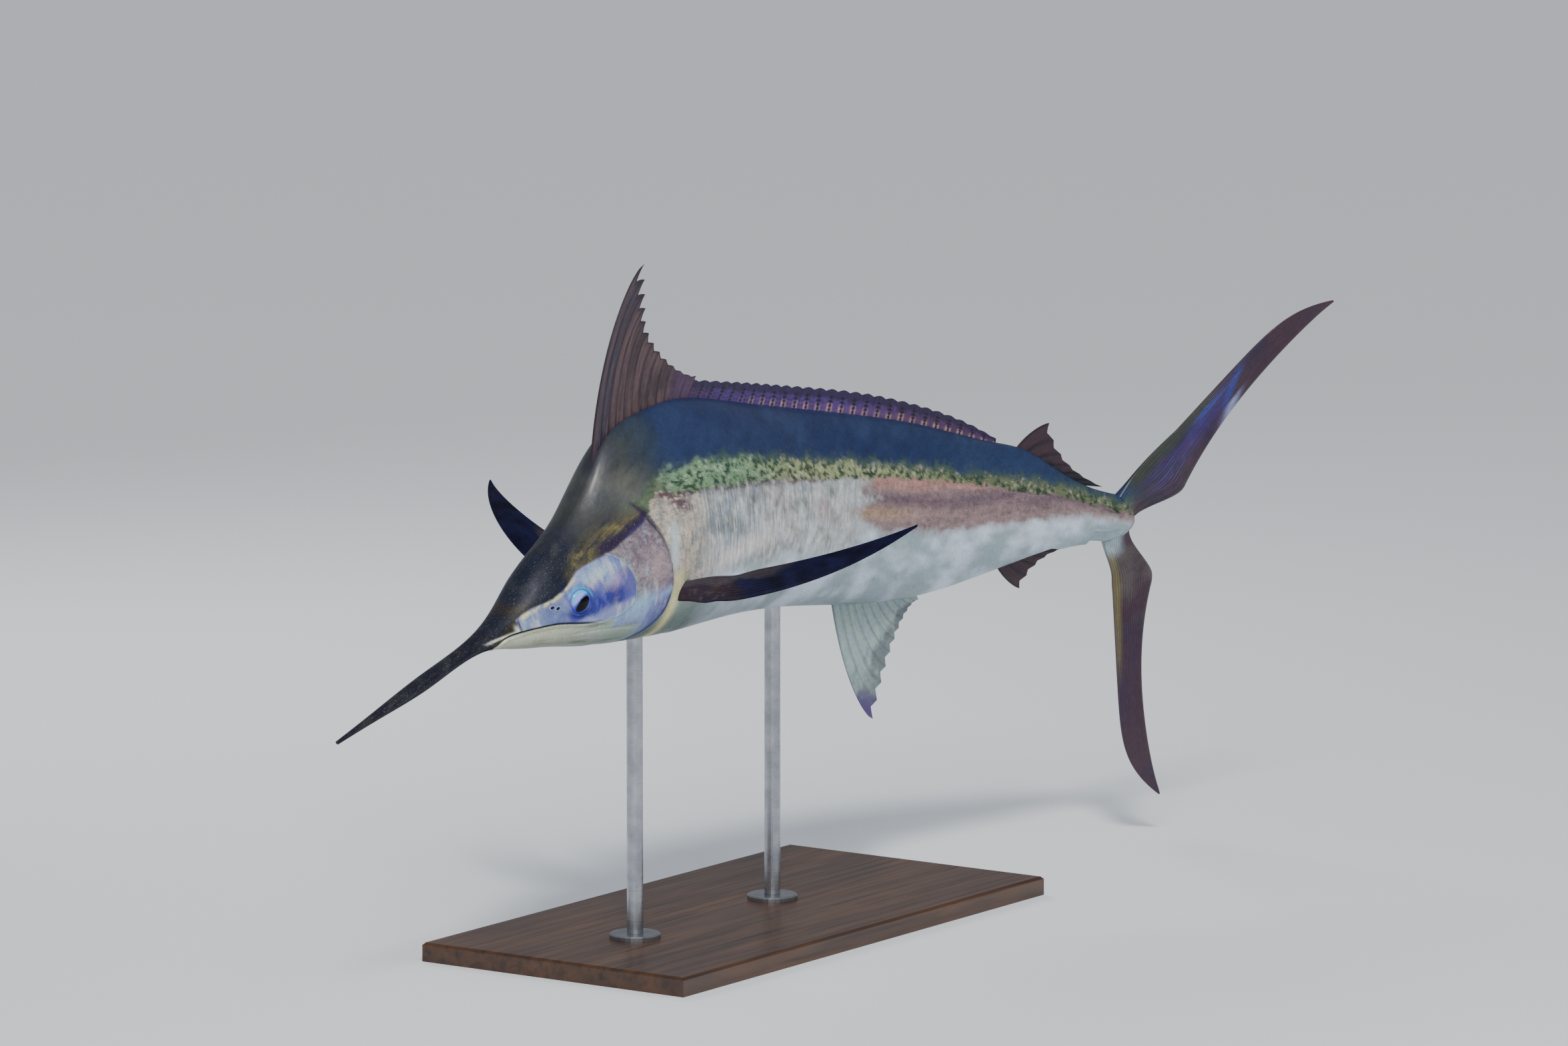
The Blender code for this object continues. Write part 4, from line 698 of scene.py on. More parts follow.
def head_tone(side, upper):
    """Whole head: gill cover, cheek, jaw, dark top, mouth slit and the root of the bill."""
    s, z, over_mouth = side.s, side.z, side.z - side.mouth
    tone = mix(cover_tone(side), cheek_tone(side), np.maximum(side.inside, falling(s, 0.130, 0.01)))
    tone = mix(tone, PALE_CYAN, 0.55 * bump(side.far - 0.985, 0.018) * rising(s, 0.125, 0.01))
    tone = mix(tone, *jaw_tone(side))
    gold = bump(side.border + 0.0012, 0.0022) * falling(s, 0.108, 0.012) * rising(s, 0.034, 0.008)
    tone = mix(tone, GOLD_LINE, 0.85 * gold * ease(0.75 + side.fine))
    front = falling(s, 0.0335, 0.002)
    tone = mix(tone, CROWN_OLIVE, front * rising(over_mouth, 0.0002, 0.0006))
    strip = bump(z - np.interp(s, (-0.010, 0.031), (0.0028, 0.0014)), 0.0011) * rising(s, -0.010, 0.010)
    tone = mix(tone, JAW_WHITE, 0.85 * front * strip)
    tone = mix(tone, JAW_WHITE, 0.8 * bump(s - 0.0300, 0.0024) * bump(over_mouth - 0.0045, 0.0035))
    tone = mix(tone, head_top_tone(side, upper), side.dark)
    tone = mix(tone, upper, falling(s, 0.004, 0.006) * (1.0 - 0.8 * strip))
    tone = mix(tone, JAW_WHITE, 0.70 * strip * falling(s, 0.010, 0.006))
    seam = bump(s - 0.0333 - 0.10 * (z - 0.004), 0.0008) * ease(over_mouth / 0.0015)
    tone = mix(tone, SLIT, 0.9 * seam * falling(z, 0.0115, 0.002))
    mouth = bump(over_mouth, 0.0010) * falling(s, MOUTH_END, 0.02) * rising(s, 0.002, 0.004)
    return mix(tone, SLIT, 0.95 * mouth)


def skin_tone(s, z):
    """Colour of the skin, with masks for fine speckle, upright streaks and silver shine."""
    side = Side(s, z)
    body, upper = body_tone(side, back_tone(side))
    share = np.clip(z / np.where(z >= 0.0, top_height(s), bottom_depth(s)), -1.0, 1.0)
    edge = cover_station(np.clip(share, -1.0, 0.62))
    crown = rising(side.border, 0.008, 0.006) * rising(s, 0.168, 0.05) * rising(side.olive_line, 0.004, 0.008)
    rear = np.maximum(ease((s - edge + 0.0002) / 0.0010), crown)
    tone = mix(head_tone(side, upper), body, rear)
    reach = np.maximum(rising(share, 0.10, 0.25) * falling(share, 0.66, 0.1), falling(share, -0.28, 0.12))
    tone = mix(tone, PLUM, 0.85 * bump(s - edge + 0.0022, 0.0022) * reach)
    slit = bump(s - edge - 0.0006, 0.0010) * falling(share, 0.52, 0.08) * rising(share, -0.95, 0.05)
    tone = mix(tone, SLIT, 0.70 * slit)

    behind_head = rising(s, 0.225, 0.02)
    under = 1.0 - side.below
    band = side.below * (1.0 - side.above) * behind_head
    speck = 1.2 * band + 0.55 * side.copper * under + 0.20 + 0.45 * side.pale * under
    on_cover = (1.0 - rear) * (1.0 - side.dark) * (1.0 - side.inside) * rising(s, 0.15, 0.02)
    speck = np.clip(speck + 0.55 * on_cover * rising(z, -0.016, 0.01), 0.0, 1.0)
    streak = under * behind_head * (1.0 - side.low) * (1.0 - 0.92 * side.copper)
    streak = np.clip(streak * (0.50 + 0.50 * bump(s - 0.325, 0.050)), 0.0, 1.0)
    silver = np.clip(1.0 - np.where(s > COVER_MIDDLE, side.below, side.dark), 0.0, 1.0)
    return np.clip(tone, 0.0, 1.0), speck, streak, silver


def grid_faces(numbers, closed=False):
    """Four-sided faces between the neighbours in a grid of point numbers."""
    if closed:
        numbers = np.hstack([numbers, numbers[:, :1]])
    corners = (numbers[:-1, :-1], numbers[:-1, 1:], numbers[1:, 1:], numbers[1:, :-1])
    return np.stack(corners, -1).reshape(-1, 4).tolist()


def tube_faces(rows, columns):
    """Faces of a closed tube of rings, with both of its ends."""
    numbers = np.arange(rows * columns).reshape(rows, columns)
    return grid_faces(numbers, closed=True) + [numbers[0].tolist(), numbers[-1].tolist()]


def add_mesh(name, points, faces, tone, **masks):
    """Smooth mesh object with a colour and masks on its points."""
    mesh = bpy.data.meshes.new(name)
    mesh.vertices.add(len(points))
    mesh.vertices.foreach_set("co", np.asarray(points, np.float32).ravel())
    sizes = np.array([len(f) for f in faces], np.int32)
    loops = np.fromiter((i for f in faces for i in f), np.int32, int(sizes.sum()))
    mesh.loops.add(len(loops))
    mesh.loops.foreach_set("vertex_index", loops)
    mesh.polygons.add(len(sizes))
    mesh.polygons.foreach_set("loop_start", np.concatenate([[0], np.cumsum(sizes)[:-1]]).astype(np.int32))
    mesh.update(calc_edges=True)
    body = bmesh.new()
    body.from_mesh(mesh)
    bmesh.ops.recalc_face_normals(body, faces=body.faces)
    body.to_mesh(mesh)
    body.free()
    colours = mesh.color_attributes.new("tone", "FLOAT_COLOR", "POINT")
    table = np.ones((len(points), 4), np.float32)
    table[:, :3] = tone
    colours.data.foreach_set("color", table.ravel())
    for key, values in masks.items():
        values = np.asarray(values, np.float32)
        kind, field = ("FLOAT_VECTOR", "vector") if values.ndim == 2 else ("FLOAT", "value")
        mesh.attributes.new(key, kind, "POINT").data.foreach_set(field, values.ravel())
    mesh.shade_smooth()
    return link_object(name, mesh)


def link_object(name, data):
    """New object with the given data in the scene."""
    item = bpy.data.objects.new(name, data)
    bpy.context.scene.collection.objects.link(item)
    return item


def aim(item, direction):
    """Turns a lamp or a camera to look along a direction."""
    item.rotation_mode = "QUATERNION"
    item.rotation_quaternion = Vector(direction).to_track_quat("-Z", "Y")


def finish_piece(piece, surface, slot, *nodes):
    """Material, body and the CAD nodes that a piece stands for; the slot is not used."""
    piece.data.materials.append(surface)
    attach(piece, "root")
    if nodes:
        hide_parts(*nodes)


SHADER_INPUTS = {"colour": "Base Color", "normal": "Normal", "rough": "Roughness", "metal": "Metallic",
                 "coat": "Coat Weight", "coat_rough": "Coat Roughness", "gloss": "Specular IOR Level"}


class Nodes:
    """Short way to wire a material."""

    def __init__(self, name):
        self.surface = bpy.data.materials.new(name)
        self.surface.use_nodes = True
        self.tree = self.surface.node_tree

    def fill(self, socket, value):
        if isinstance(value, (int, float, tuple)):
            socket.default_value = value
        else:
            self.tree.links.new(value, socket)

    def add(self, kind, inputs=(), **settings):
        node = self.tree.nodes.new(kind)
        for key, value in settings.items():
            setattr(node, key, value)
        for socket, value in inputs:
            self.fill(node.inputs[socket], value)
        return node

    def attribute(self, name, output="Fac"):
        return self.add("ShaderNodeAttribute", attribute_name=name).outputs[output]

    def times(self, a, b):
        return self.add("ShaderNodeMath", ((0, a), (1, b)), operation="MULTIPLY").outputs[0]

    def stretched(self, vector, *scale):
        return self.add("ShaderNodeMapping", (("Vector", vector), ("Scale", scale))).outputs[0]

    def noise(self, vector, scale, detail=3.0, rough=0.6):
        inputs = (("Vector", vector), ("Scale", scale), ("Detail", detail), ("Roughness", rough))
        return self.add("ShaderNodeTexNoise", inputs).outputs["Fac"]

    def blend(self, share, a, b, mode="MIX"):
        inputs = ((0, share), (6, a), (7, b))
        return self.add("ShaderNodeMix", inputs, data_type="RGBA", blend_type=mode).outputs[2]

    def tinted(self, share, colour, tone, *factors):
        """Colour with a share of the tone times three factors over it."""
        return self.blend(share, colour, self.blend(1.0, tone, factors + (1.0,), "MULTIPLY"))

    def ramp(self, value, low, high, start=0.0, end=1.0):
        inputs = (("Value", value), ("From Min", low), ("From Max", high), ("To Min", start), ("To Max", end))
        return self.add("ShaderNodeMapRange", inputs, clamp=True).outputs[0]

    def relief(self, height, strength, distance, *normal):
        inputs = [("Height", height), ("Strength", strength), ("Distance", distance)]
        inputs += [("Normal", value) for value in normal]
        return self.add("ShaderNodeBump", inputs).outputs[0]

    def finish(self, **values):
        """Surface of the material, from the inputs of its shader."""
        for key, value in values.items():
            self.fill(self.tree.nodes["Principled BSDF"].inputs[SHADER_INPUTS[key]], value)
        return self.surface


def rgba(*screen_values):
    """Colour socket value."""
    return tuple(float(c) for c in linear(*screen_values)) + (1.0,)


def make_skin_material():
    """Wet skin: point colours with fine speckle, upright streaks, scales and a clear coat."""
    kit = Nodes("marlin_skin")
    tone = kit.attribute("tone", "Color")
    sheet = kit.attribute("sheet", "Vector")
    speck = kit.attribute("speck")
    streak = kit.attribute("streak")
    grains = kit.noise(sheet, 290.0, rough=0.65)
    share = kit.times(kit.ramp(grains, 0.49, 0.60), kit.times(speck, 0.85))
    colour = kit.tinted(share, tone, tone, 0.45, 0.50, 0.55)
    flecks = kit.noise(kit.stretched(sheet, 1.0, 0.55, 1.0), 330.0, detail=2.0)
    share = kit.times(kit.ramp(flecks, 0.60, 0.74), kit.times(speck, 0.55))
    colour = kit.blend(share, colour, kit.blend(0.35, tone, (0.75, 0.80, 0.55, 1.0)))
    tall = kit.noise(kit.stretched(sheet, 150.0, 14.0, 1.0), 1.0)
    for low, high, weight, line in ((0.50, 0.66, 0.62, rgba(96, 110, 120)),
                                    (0.46, 0.32, 0.50, rgba(220, 220, 216))):
        colour = kit.blend(kit.times(kit.ramp(tall, low, high), kit.times(streak, weight)), colour, line)
    grit = kit.noise(kit.stretched(sheet, 1.0, 0.7, 1.0), 120.0, detail=4.0, rough=0.7)
    colour = kit.tinted(kit.ramp(grit, 0.54, 0.66, 0.0, 0.42), colour, colour, 0.62, 0.62, 0.66)
    colour = kit.tinted(kit.ramp(grit, 0.46, 0.34, 0.0, 0.34), colour, colour, 1.45, 1.42, 1.38)

    where = kit.stretched(sheet, 110.0, 260.0, 1.0)
    scales = kit.add("ShaderNodeTexVoronoi", (("Scale", 1.0), ("Vector", where)))
    fine = kit.noise(sheet, 420.0, detail=2.0, rough=0.5)
    cells = kit.times(scales.outputs["Distance"], 0.6)
    height = kit.add("ShaderNodeMath", ((0, cells), (1, kit.times(fine, 0.5))), operation="ADD").outputs[0]
    swell = kit.noise(sheet, 26.0, detail=2.0, rough=0.5)
    normal = kit.relief(swell, 0.25, 0.004, kit.relief(height, 0.22, 0.0008))
    rough = kit.ramp(kit.noise(sheet, 60.0), 0.3, 0.7, 0.38, 0.56)
    metal = kit.times(kit.attribute("silver"), 0.30)
    return kit.finish(colour=colour, normal=normal, rough=rough, metal=metal, coat=0.10, coat_rough=0.16,
                      gloss=0.22)


def make_fin_material(name, rough, coat, lines, gloss=0.30):
    """Fin membrane: point colours with fine mottling, dark threads along the rays and low relief."""
    kit = Nodes(name)
    tone = kit.attribute("tone", "Color")
    sheet = kit.attribute("sheet", "Vector")
    mottle = kit.noise(sheet, 90.0, detail=4.0, rough=0.65)
    glow = kit.noise(sheet, 240.0, detail=2.0, rough=0.5)
    threads = kit.noise(kit.stretched(sheet, 260.0, 7.0, 1.0), 1.0)
    colour = kit.tinted(kit.ramp(mottle, 0.45, 0.75, 0.0, 0.55), tone, tone, 0.55, 0.52, 0.62)
    colour = kit.tinted(kit.ramp(glow, 0.60, 0.80, 0.0, 0.30), colour, tone, 1.9, 1.8, 1.9)
    colour = kit.tinted(kit.ramp(threads, 0.50, 0.64, 0.0, lines), colour, tone, 0.38, 0.34, 0.42)
    normal = kit.relief(mottle, 0.15, 0.001, kit.relief(threads, 0.30, 0.0008))
    rough = kit.ramp(mottle, 0.3, 0.7, rough, rough + 0.14)
    return kit.finish(colour=colour, normal=normal, rough=rough, coat=coat, coat_rough=0.15, gloss=gloss)


def make_eye_material():
    """Eye: point colours under a clear, smooth cornea."""
    kit = Nodes("marlin_eye")
    tone = kit.attribute("tone", "Color")
    threads = kit.noise(kit.attribute("sheet", "Vector"), 260.0, detail=2.0, rough=0.5)
    rough = kit.ramp(threads, 0.3, 0.7, 0.10, 0.20)
    return kit.finish(colour=tone, rough=rough, coat=0.16, coat_rough=0.03, gloss=0.12)


def make_wood_material():
    """Dark oiled wood with long grain and soft sheen."""
    kit = Nodes("stand_wood")
    where = kit.add("ShaderNodeTexCoord").outputs["Object"]
    warp = kit.noise(kit.stretched(where, 0.8, 5.0, 5.0), 3.0, detail=4.0)
    grain = kit.noise(kit.stretched(where, 2.2, 60.0, 60.0), 1.0, detail=5.0, rough=0.65)
    colour = kit.blend(kit.ramp(warp, 0.30, 0.70), rgba(66, 44, 32), rgba(96, 66, 46))
    colour = kit.blend(kit.ramp(grain, 0.48, 0.68, 0.0, 0.75), colour, rgba(40, 26, 20))
    return kit.finish(colour=colour, normal=kit.relief(grain, 0.25, 0.0006),
                      rough=kit.ramp(grain, 0.3, 0.7, 0.34, 0.48), coat=0.25, coat_rough=0.25)


def make_steel_material():
    """Brushed steel turned on a lathe."""
    kit = Nodes("stand_steel")
    where = kit.add("ShaderNodeTexCoord").outputs["Object"]
    rings = kit.noise(kit.stretched(where, 6.0, 6.0, 900.0), 1.0)
    patch = kit.ramp(kit.noise(where, 18.0), 0.35, 0.65)
    rough = kit.ramp(rings, 0.3, 0.7, 0.24, 0.36)
    return kit.finish(colour=kit.blend(patch, rgba(178, 180, 184), rgba(156, 158, 164)),
                      normal=kit.relief(rings, 0.12, 0.0003), rough=rough, metal=1.0)


# Rings of the skin
SIDE_COUNT = 170
STALK_RINGS = 17
BELLY_SHARES = np.array((0.95, 0.86, 0.60, 0.30, 0.0, -0.30, -0.60, -0.86, -0.95))
GROOVE_WALL = 0.9
BACK_SHARES = np.array((-0.5, 0.0, 0.5))
SHEET_SIDE_GAP = 7.0
COVER_RINGS = (-0.0080, -0.0062, -0.0048, -0.0036, -0.0026, -0.0018, -0.0011, -0.0005, -0.00005,
               0.0001, 0.0005, 0.0010, 0.0017, 0.0026, 0.0038, 0.0052, 0.0070)
HEAD_RINGS = ((-0.2050, -0.2020, 5), (-0.2010, -0.1500, 14), (-0.1450, -0.0100, 28), (-0.0060, 0.0400, 44),
              (0.0410, 0.1340, 96), (0.1352, 0.2135, 64))
TRUNK_RINGS = ((0.2312, 0.2900, 30), (0.2925, 0.8000, 200), (0.8022, 0.9360, 66))
LEAN_START = 0.135
LEAN_END = 0.305


def skin_stations():
    """Stations of the rings, closest at the mouth, the eye and the gill cover."""
    head = [np.linspace(*part) for part in HEAD_RINGS]
    trunk = [np.linspace(*part) for part in TRUNK_RINGS]
    return np.concatenate(head + [COVER_MIDDLE + np.array(COVER_RINGS)] + trunk)


def ring_angles(s):
    """Angles down the left side, closer together at the mouth, the eye and the keels."""
    angle = np.linspace(90.0, -90.0, 721)
    y, z = side_point(np.full(angle.shape, s), angle)
    mouth = bump(z - mouth_line(s), 0.0040) * rising(s, -0.01, 0.01) * falling(s, 0.15, 0.02)
    eye = bump(z - EYE_HEIGHT, 0.018) * bump(s - EYE_STATION, 0.03)
    keel = bump(np.abs(z) - 0.010, 0.005) * rising(s, 0.925, 0.012)
    weight = 1.0 + 5.0 * mouth + 1.6 * eye + 1.5 * keel
    steps = np.hypot(np.diff(y), np.diff(z)) + 0.10 * np.abs(np.diff(angle)) / 180.0 * half_width(s)
    path = np.concatenate([[0.0], np.cumsum(steps * (weight[1:] + weight[:-1]))])
    return np.interp(np.linspace(0.0, path[-1], SIDE_COUNT), path, angle)


def chin_growth(s):
    """Depth that the blunt tip of the lower jaw adds under the bill."""
    jaw = -mouth_line(s) + 0.0035 + 0.0040 * ease(s / 0.02)
    return np.clip(jaw - bottom_depth(s), 0.0, 0.004) * rising(s, 0.0030, 0.0045)


def skin_relief(s, z, angle, ahead):
    """Height of the skin's forms above the smooth body; ahead counts from the gill cover's edge."""
    off = z - mouth_line(s)
    held = rising(s, 0.0030, 0.004) * falling(s, MOUTH_END + 0.006, 0.012)
    tip = 1.0 + 0.55 * falling(s, 0.050, 0.03)
    rise = -LIP_DEPTH * tip * bump(off, LIP_SPREAD * tip) * held
    rise += 0.0006 * (bump(off - 0.0026, 0.0016) + bump(off + 0.0028, 0.0018)) * held
    rise += -0.0011 * bump(off - 0.0075, 0.0030) * rising(s, 0.045, 0.02) * falling(s, 0.100, 0.02)
    active = falling(angle, COVER_ANGLE_TOP - 3.0, 10.0) * rising(angle, COVER_ANGLE_LOW + 2.0, 9.0)
    rear = np.where(ahead > 0.0, -COVER_STEP * (1.0 - ease(ahead / 0.020)), 0.0)
    front = np.where(ahead <= 0.0, 0.0009 * bump(ahead + 0.0030, 0.0032) - 0.0004 * bump(ahead, 0.0010), 0.0)
    rise += (rear + front) * active
    far = (cheek_range(s, z) - 1.0) * CHEEK_REACH[0]
    plate = ease(-far / 0.004) * rising(far, -0.030, 0.026)
    arc = rising(s, 0.122, 0.012) * rising(z, -0.050, 0.006)
    rise += (-0.0007 * bump(far, 0.0011) + 0.0006 * plate) * arc
    eye_x = s - EYE_STATION
    eye_z = z - EYE_HEIGHT
    eye = np.sqrt(eye_x * eye_x + eye_z * eye_z)
    rise += -0.0062 * (1.0 - rising(eye, 0.0094, 0.0022)) + 0.0009 * bump(eye - 0.0128, 0.0020)
    rise += -0.0009 * bump(eye - 0.0185, 0.0045)
    rise += 0.0013 * bump(eye_z - 0.0215 - 0.25 * eye_x, 0.0052) * bump(eye_x + 0.004, 0.034)
    for k, drop in enumerate((0.0, 0.0085, 0.0170)):
        fold = -0.0300 - drop - 0.30 * (s - 0.095) + 0.004 * np.sin((s - 0.09) * 26.0 + k)
        rise += -0.0006 * bump(z - fold, 0.0012) * rising(s, 0.085, 0.02) * falling(s, 0.196, 0.03)
    rise += -0.0010 * bump(z + 0.036, 0.012) * bump(s - 0.236, 0.010)
    for pit_s, pit_z in NOSTRILS:
        rise += -NOSTRIL_DENT * bump(s - pit_s, 0.0028) * bump(z - pit_z, 0.0021)
    share = np.clip((s - KEEL_SPAN[0]) / (KEEL_SPAN[1] - KEEL_SPAN[0]), 0.0, 1.0)
    high = KEEL_HEIGHT * np.sin(np.pi * share ** 0.8) ** 0.8
    for side in (1.0, -1.0):
        rise += high * bump(z - side * (0.0125 - 0.0060 * share), KEEL_SPREAD)
    return rise


def ring_places(t):
    """One ring of the skin in body places, with its angles and distance behind the gill cover."""
    angle = ring_angles(t)
    lean = rising(t, LEAN_START, COVER_MIDDLE - LEAN_START) * falling(t, LEAN_END, LEAN_END - COVER_MIDDLE)
    s = t + (cover_edge(angle) - COVER_MIDDLE) * lean
    y, z = side_point(s, angle)
    z = np.where(z < 0.0, z * (1.0 + chin_growth(s) / np.maximum(bottom_depth(s), 0.001)), z)
    return s, y, z, angle, t - COVER_MIDDLE


def stalk_places(start):
    """Rings behind the last straight one, drawn out to the root of the tail."""
    angle = ring_angles(start)
    height = np.sign(angle) * np.abs(np.sin(np.radians(angle))) ** (2.0 / STALK_POWER)
    end = stalk_end(height) + STALK_OVERLAP
    for share in np.linspace(0.0, 1.0, STALK_RINGS + 1)[1:]:
        s = start + (end - start) * share
        yield (s, *side_point(s, angle), angle, 1.0)


def whole_ring(s, y, z, angle, ahead):
    """All places of one ring: the flat line of the back, the left side, the belly and the right side."""
    rise = skin_relief(s, z, angle, ahead)
    outward = np.stack([np.cos(np.radians(angle)), np.sin(np.radians(angle))], -1)
    slope = np.stack([np.gradient(z), -np.gradient(y)], -1)
    slope = slope / (np.linalg.norm(slope, axis=1)[:, None] + 1e-12)
    slope *= np.sign((slope * outward).sum(1))[:, None]
    side = np.stack([s, y + slope[:, 0] * rise, z + slope[:, 1] * rise], -1)
    lift = groove_share(s[-1]) * GROOVE_DEPTH * np.where(np.abs(BELLY_SHARES) < GROOVE_WALL, 1.0, 0.06)
    belly = np.stack([np.full(lift.shape, s[-1]), y[-1] * BELLY_SHARES, z[-1] + lift], -1)
    back = np.stack([np.full(3, s[0]), y[0] * BACK_SHARES, np.full(3, z[0])], -1)
    return np.vstack([back, side, belly, side[::-1] * np.array([1.0, -1.0, 1.0])])


def build_skin():
    """Whole fish without its fins and eyes as one smooth skin."""
    stations = skin_stations()
    rings = [ring_places(t) for t in stations] + list(stalk_places(stations[-1]))
    table = np.array([whole_ring(*ring) for ring in rings])
    rows, columns = table.shape[:2]
    s, y, z = np.moveaxis(table, -1, 0)
    world = place(s, y, z)
    steps = np.linalg.norm(np.diff(world, axis=1), axis=2)
    girth = np.concatenate([np.zeros((rows, 1)), np.cumsum(steps, axis=1)], axis=1)
    around = np.minimum(girth, 2.0 * girth[:, columns // 2][:, None] - girth)
    sheet = np.stack([s * UNIT, around, np.sign(y) * SHEET_SIDE_GAP], -1).reshape(-1, 3)
    tone, speck, streak, silver = skin_tone(s.ravel(), z.ravel())
    skin = add_mesh("fish_skin", world.reshape(-1, 3), tube_faces(rows, columns), tone,
                    sheet=sheet, speck=speck, streak=streak, silver=silver)
    keels = [f"{side}_{level}_tail_keel" for side in ("left", "right") for level in ("upper", "lower")]
    finish_piece(skin, make_skin_material(), "skin", "bill", "head", "lower_jaw", "trunk_front",
                 "trunk_middle", "trunk_rear", "tail_stalk", *keels)


# Surfaces of the fins
FIN_SINK = 0.0016
FIN_SIDE_GAP = 3.0
SHARP_ANGLE = 62.0


def ray_grid(rays, per_ray):
    """Shares along a fin's base, and the distance of each from the nearest ray in ray spacings."""
    between = 0.5 - 0.5 * np.cos(np.pi * np.arange(per_ray) / per_ray)
    shares = np.append((np.arange(rays - 1)[:, None] + between).ravel() / (rays - 1), 1.0)
    phase = shares * (rays - 1)
    return shares, np.abs(phase - np.round(phase))


def slab_piece(name, sheets, tone, surface, slot, *nodes):
    """Closed thin fin from the grids of its two sides."""
    front, back = sheets
    rows, columns = front.shape[:2]
    near = np.arange(rows * columns).reshape(rows, columns)
    far = near + rows * columns
    faces = grid_faces(near) + grid_faces(far.T)
    for a, b in ((near[0], far[0]), (near[-1], far[-1]), (near[:, 0], far[:, 0]), (near[:, -1], far[:, -1])):
        faces += grid_faces(np.stack([a, b]))
    root = np.cumsum(np.append(0.0, np.linalg.norm(np.diff(front[0], axis=0), axis=1)))
    steps = np.linalg.norm(np.diff(front, axis=0), axis=2)
    reach = np.vstack([np.zeros((1, columns)), np.cumsum(steps, axis=0)])
    sheet = np.stack([np.broadcast_to(root, reach.shape), reach, np.zeros(reach.shape)], -1).reshape(-1, 3)
    points = np.concatenate([front.reshape(-1, 3), back.reshape(-1, 3)])
    piece = add_mesh(name, points, faces, np.tile(tone.reshape(-1, 3), (2, 1)),
                     sheet=np.concatenate([sheet, sheet + np.array([0.0, 0.0, FIN_SIDE_GAP])]))
    piece.data.set_sharp_from_angle(angle=math.radians(SHARP_ANGLE))
    finish_piece(piece, surface, slot, *nodes)


def upright_sheets(mid, half, way=1.0):
    """World places of both sides of a fin on the middle line; way is -1 under the belly."""
    return [place(mid[..., 0], side * half, mid[..., 1] * way) for side in (1.0, -1.0)]


def median_grid(base, tip, bow, rays, per_ray, row_count, notch, root_half, edge_half, ray_high):
    """Middle places and half thickness of a fin on the middle line, with shares along, off and up it."""
    w, off = ray_grid(rays, per_ray)
    rows = np.linspace(0.0, 1.0, row_count)[:, None] ** 0.9
    v = rows * (1.0 - notch * (off * 2.0) ** 1.5)
    root = np.stack(base(w), -1)
    mid = root + (np.stack(tip(w), -1) - root) * v[..., None]
    mid[..., 0] -= bow(w) * v * np.maximum(1.0 - v, 0.0) ** 0.55
    half = root_half * (1.0 - v) ** 1.2 + edge_half + ray_high * bump(off, 0.13) * (1.0 - 0.6 * v)
    half *= 0.35 + 0.65 * np.clip(w / 0.02, 0.0, 1.0) ** 0.5
    return mid, half, w, off, rows


def base_places(span, lower=False):
    """Line along the back or the belly that a fin grows from."""
    def base(w):
        s = span[0] + (span[1] - span[0]) * w
        return s, base_line(s, lower) - FIN_SINK

    return base


def lobe_tip(share):
    """Ends of the rays of the first dorsal fin's lobe."""
    foot = base_line(LOBE_BASE[1]) + low_height(LOBE_BASE[1])
    z = foot + (LOBE_TIP[1] - foot) * (1.0 - share) ** 1.45
    fall = np.clip((0.218 - z) / 0.079, 0.0, 1.2)
    return LOBE_TIP[0] - 0.001 + 0.066 * fall ** 1.6 + LOBE_HEEL * share ** 6, z


def low_tip(share):
    """Ends of the rays of the first dorsal fin's low part."""
    s = LOW_SPAN[0] + (LOW_SPAN[1] - LOW_SPAN[0]) * share
    high = low_height(s)
    ahead = s + (LOW_SLANT_FRONT + (LOW_SLANT_REAR - LOW_SLANT_FRONT) * rising(s, 0.36, 0.16)) * high
    return ahead, base_line(ahead) + high * 0.96


def build_lobe(surface):
    """Tall lobe at the front of the first dorsal fin."""
    mid, half, w, off, v = median_grid(base_places(LOBE_BASE), lobe_tip,
                                       lambda w: LOBE_BOW * (1.0 - w) ** 1.5,
                                       rays=LOBE_RAYS, per_ray=14, row_count=64, notch=0.040,
                                       root_half=0.0012, edge_half=0.00040, ray_high=0.0005)
    mottle = noise(mid[..., 0] * 150.0, mid[..., 1] * 60.0, 71)
    groups = noise(w * 16.0, v * 1.6, 77)
    threads = noise(w * 75.0, v * 3.0, 75)
    tone = mix(LOBE_COLOUR, LOBE_RAY, ease(0.35 + 1.3 * groups) * 0.65)
    tone = mix(tone, LOBE_SLATE, ease((0.24 - w + 0.08 * mottle) / 0.16) * 0.80)
    tone = mix(tone, LOBE_COLOUR, bump(w - 0.035, 0.025) * 0.6)
    tone = mix(tone, LOBE_RAY, 0.80 * bump(off, 0.09))
    tone = mix(tone, LOBE_RAY, 0.60 * ease(1.8 * threads - 0.25))
    tone = mix(tone, LOBE_THREAD, 0.40 * ease(-1.8 * threads - 0.45))
    tone = mix(tone, LOW_PURPLE, 0.70 * rising(w, 0.72, 0.15))
    tone = mix(tone, LOBE_RAY, 0.75 * rising(v, 0.965, 0.02))
    slab_piece("first_dorsal_lobe_fin", upright_sheets(mid, half), shade(tone, 0.15 * mottle), surface,
               "dark_fin", "first_dorsal_lobe")


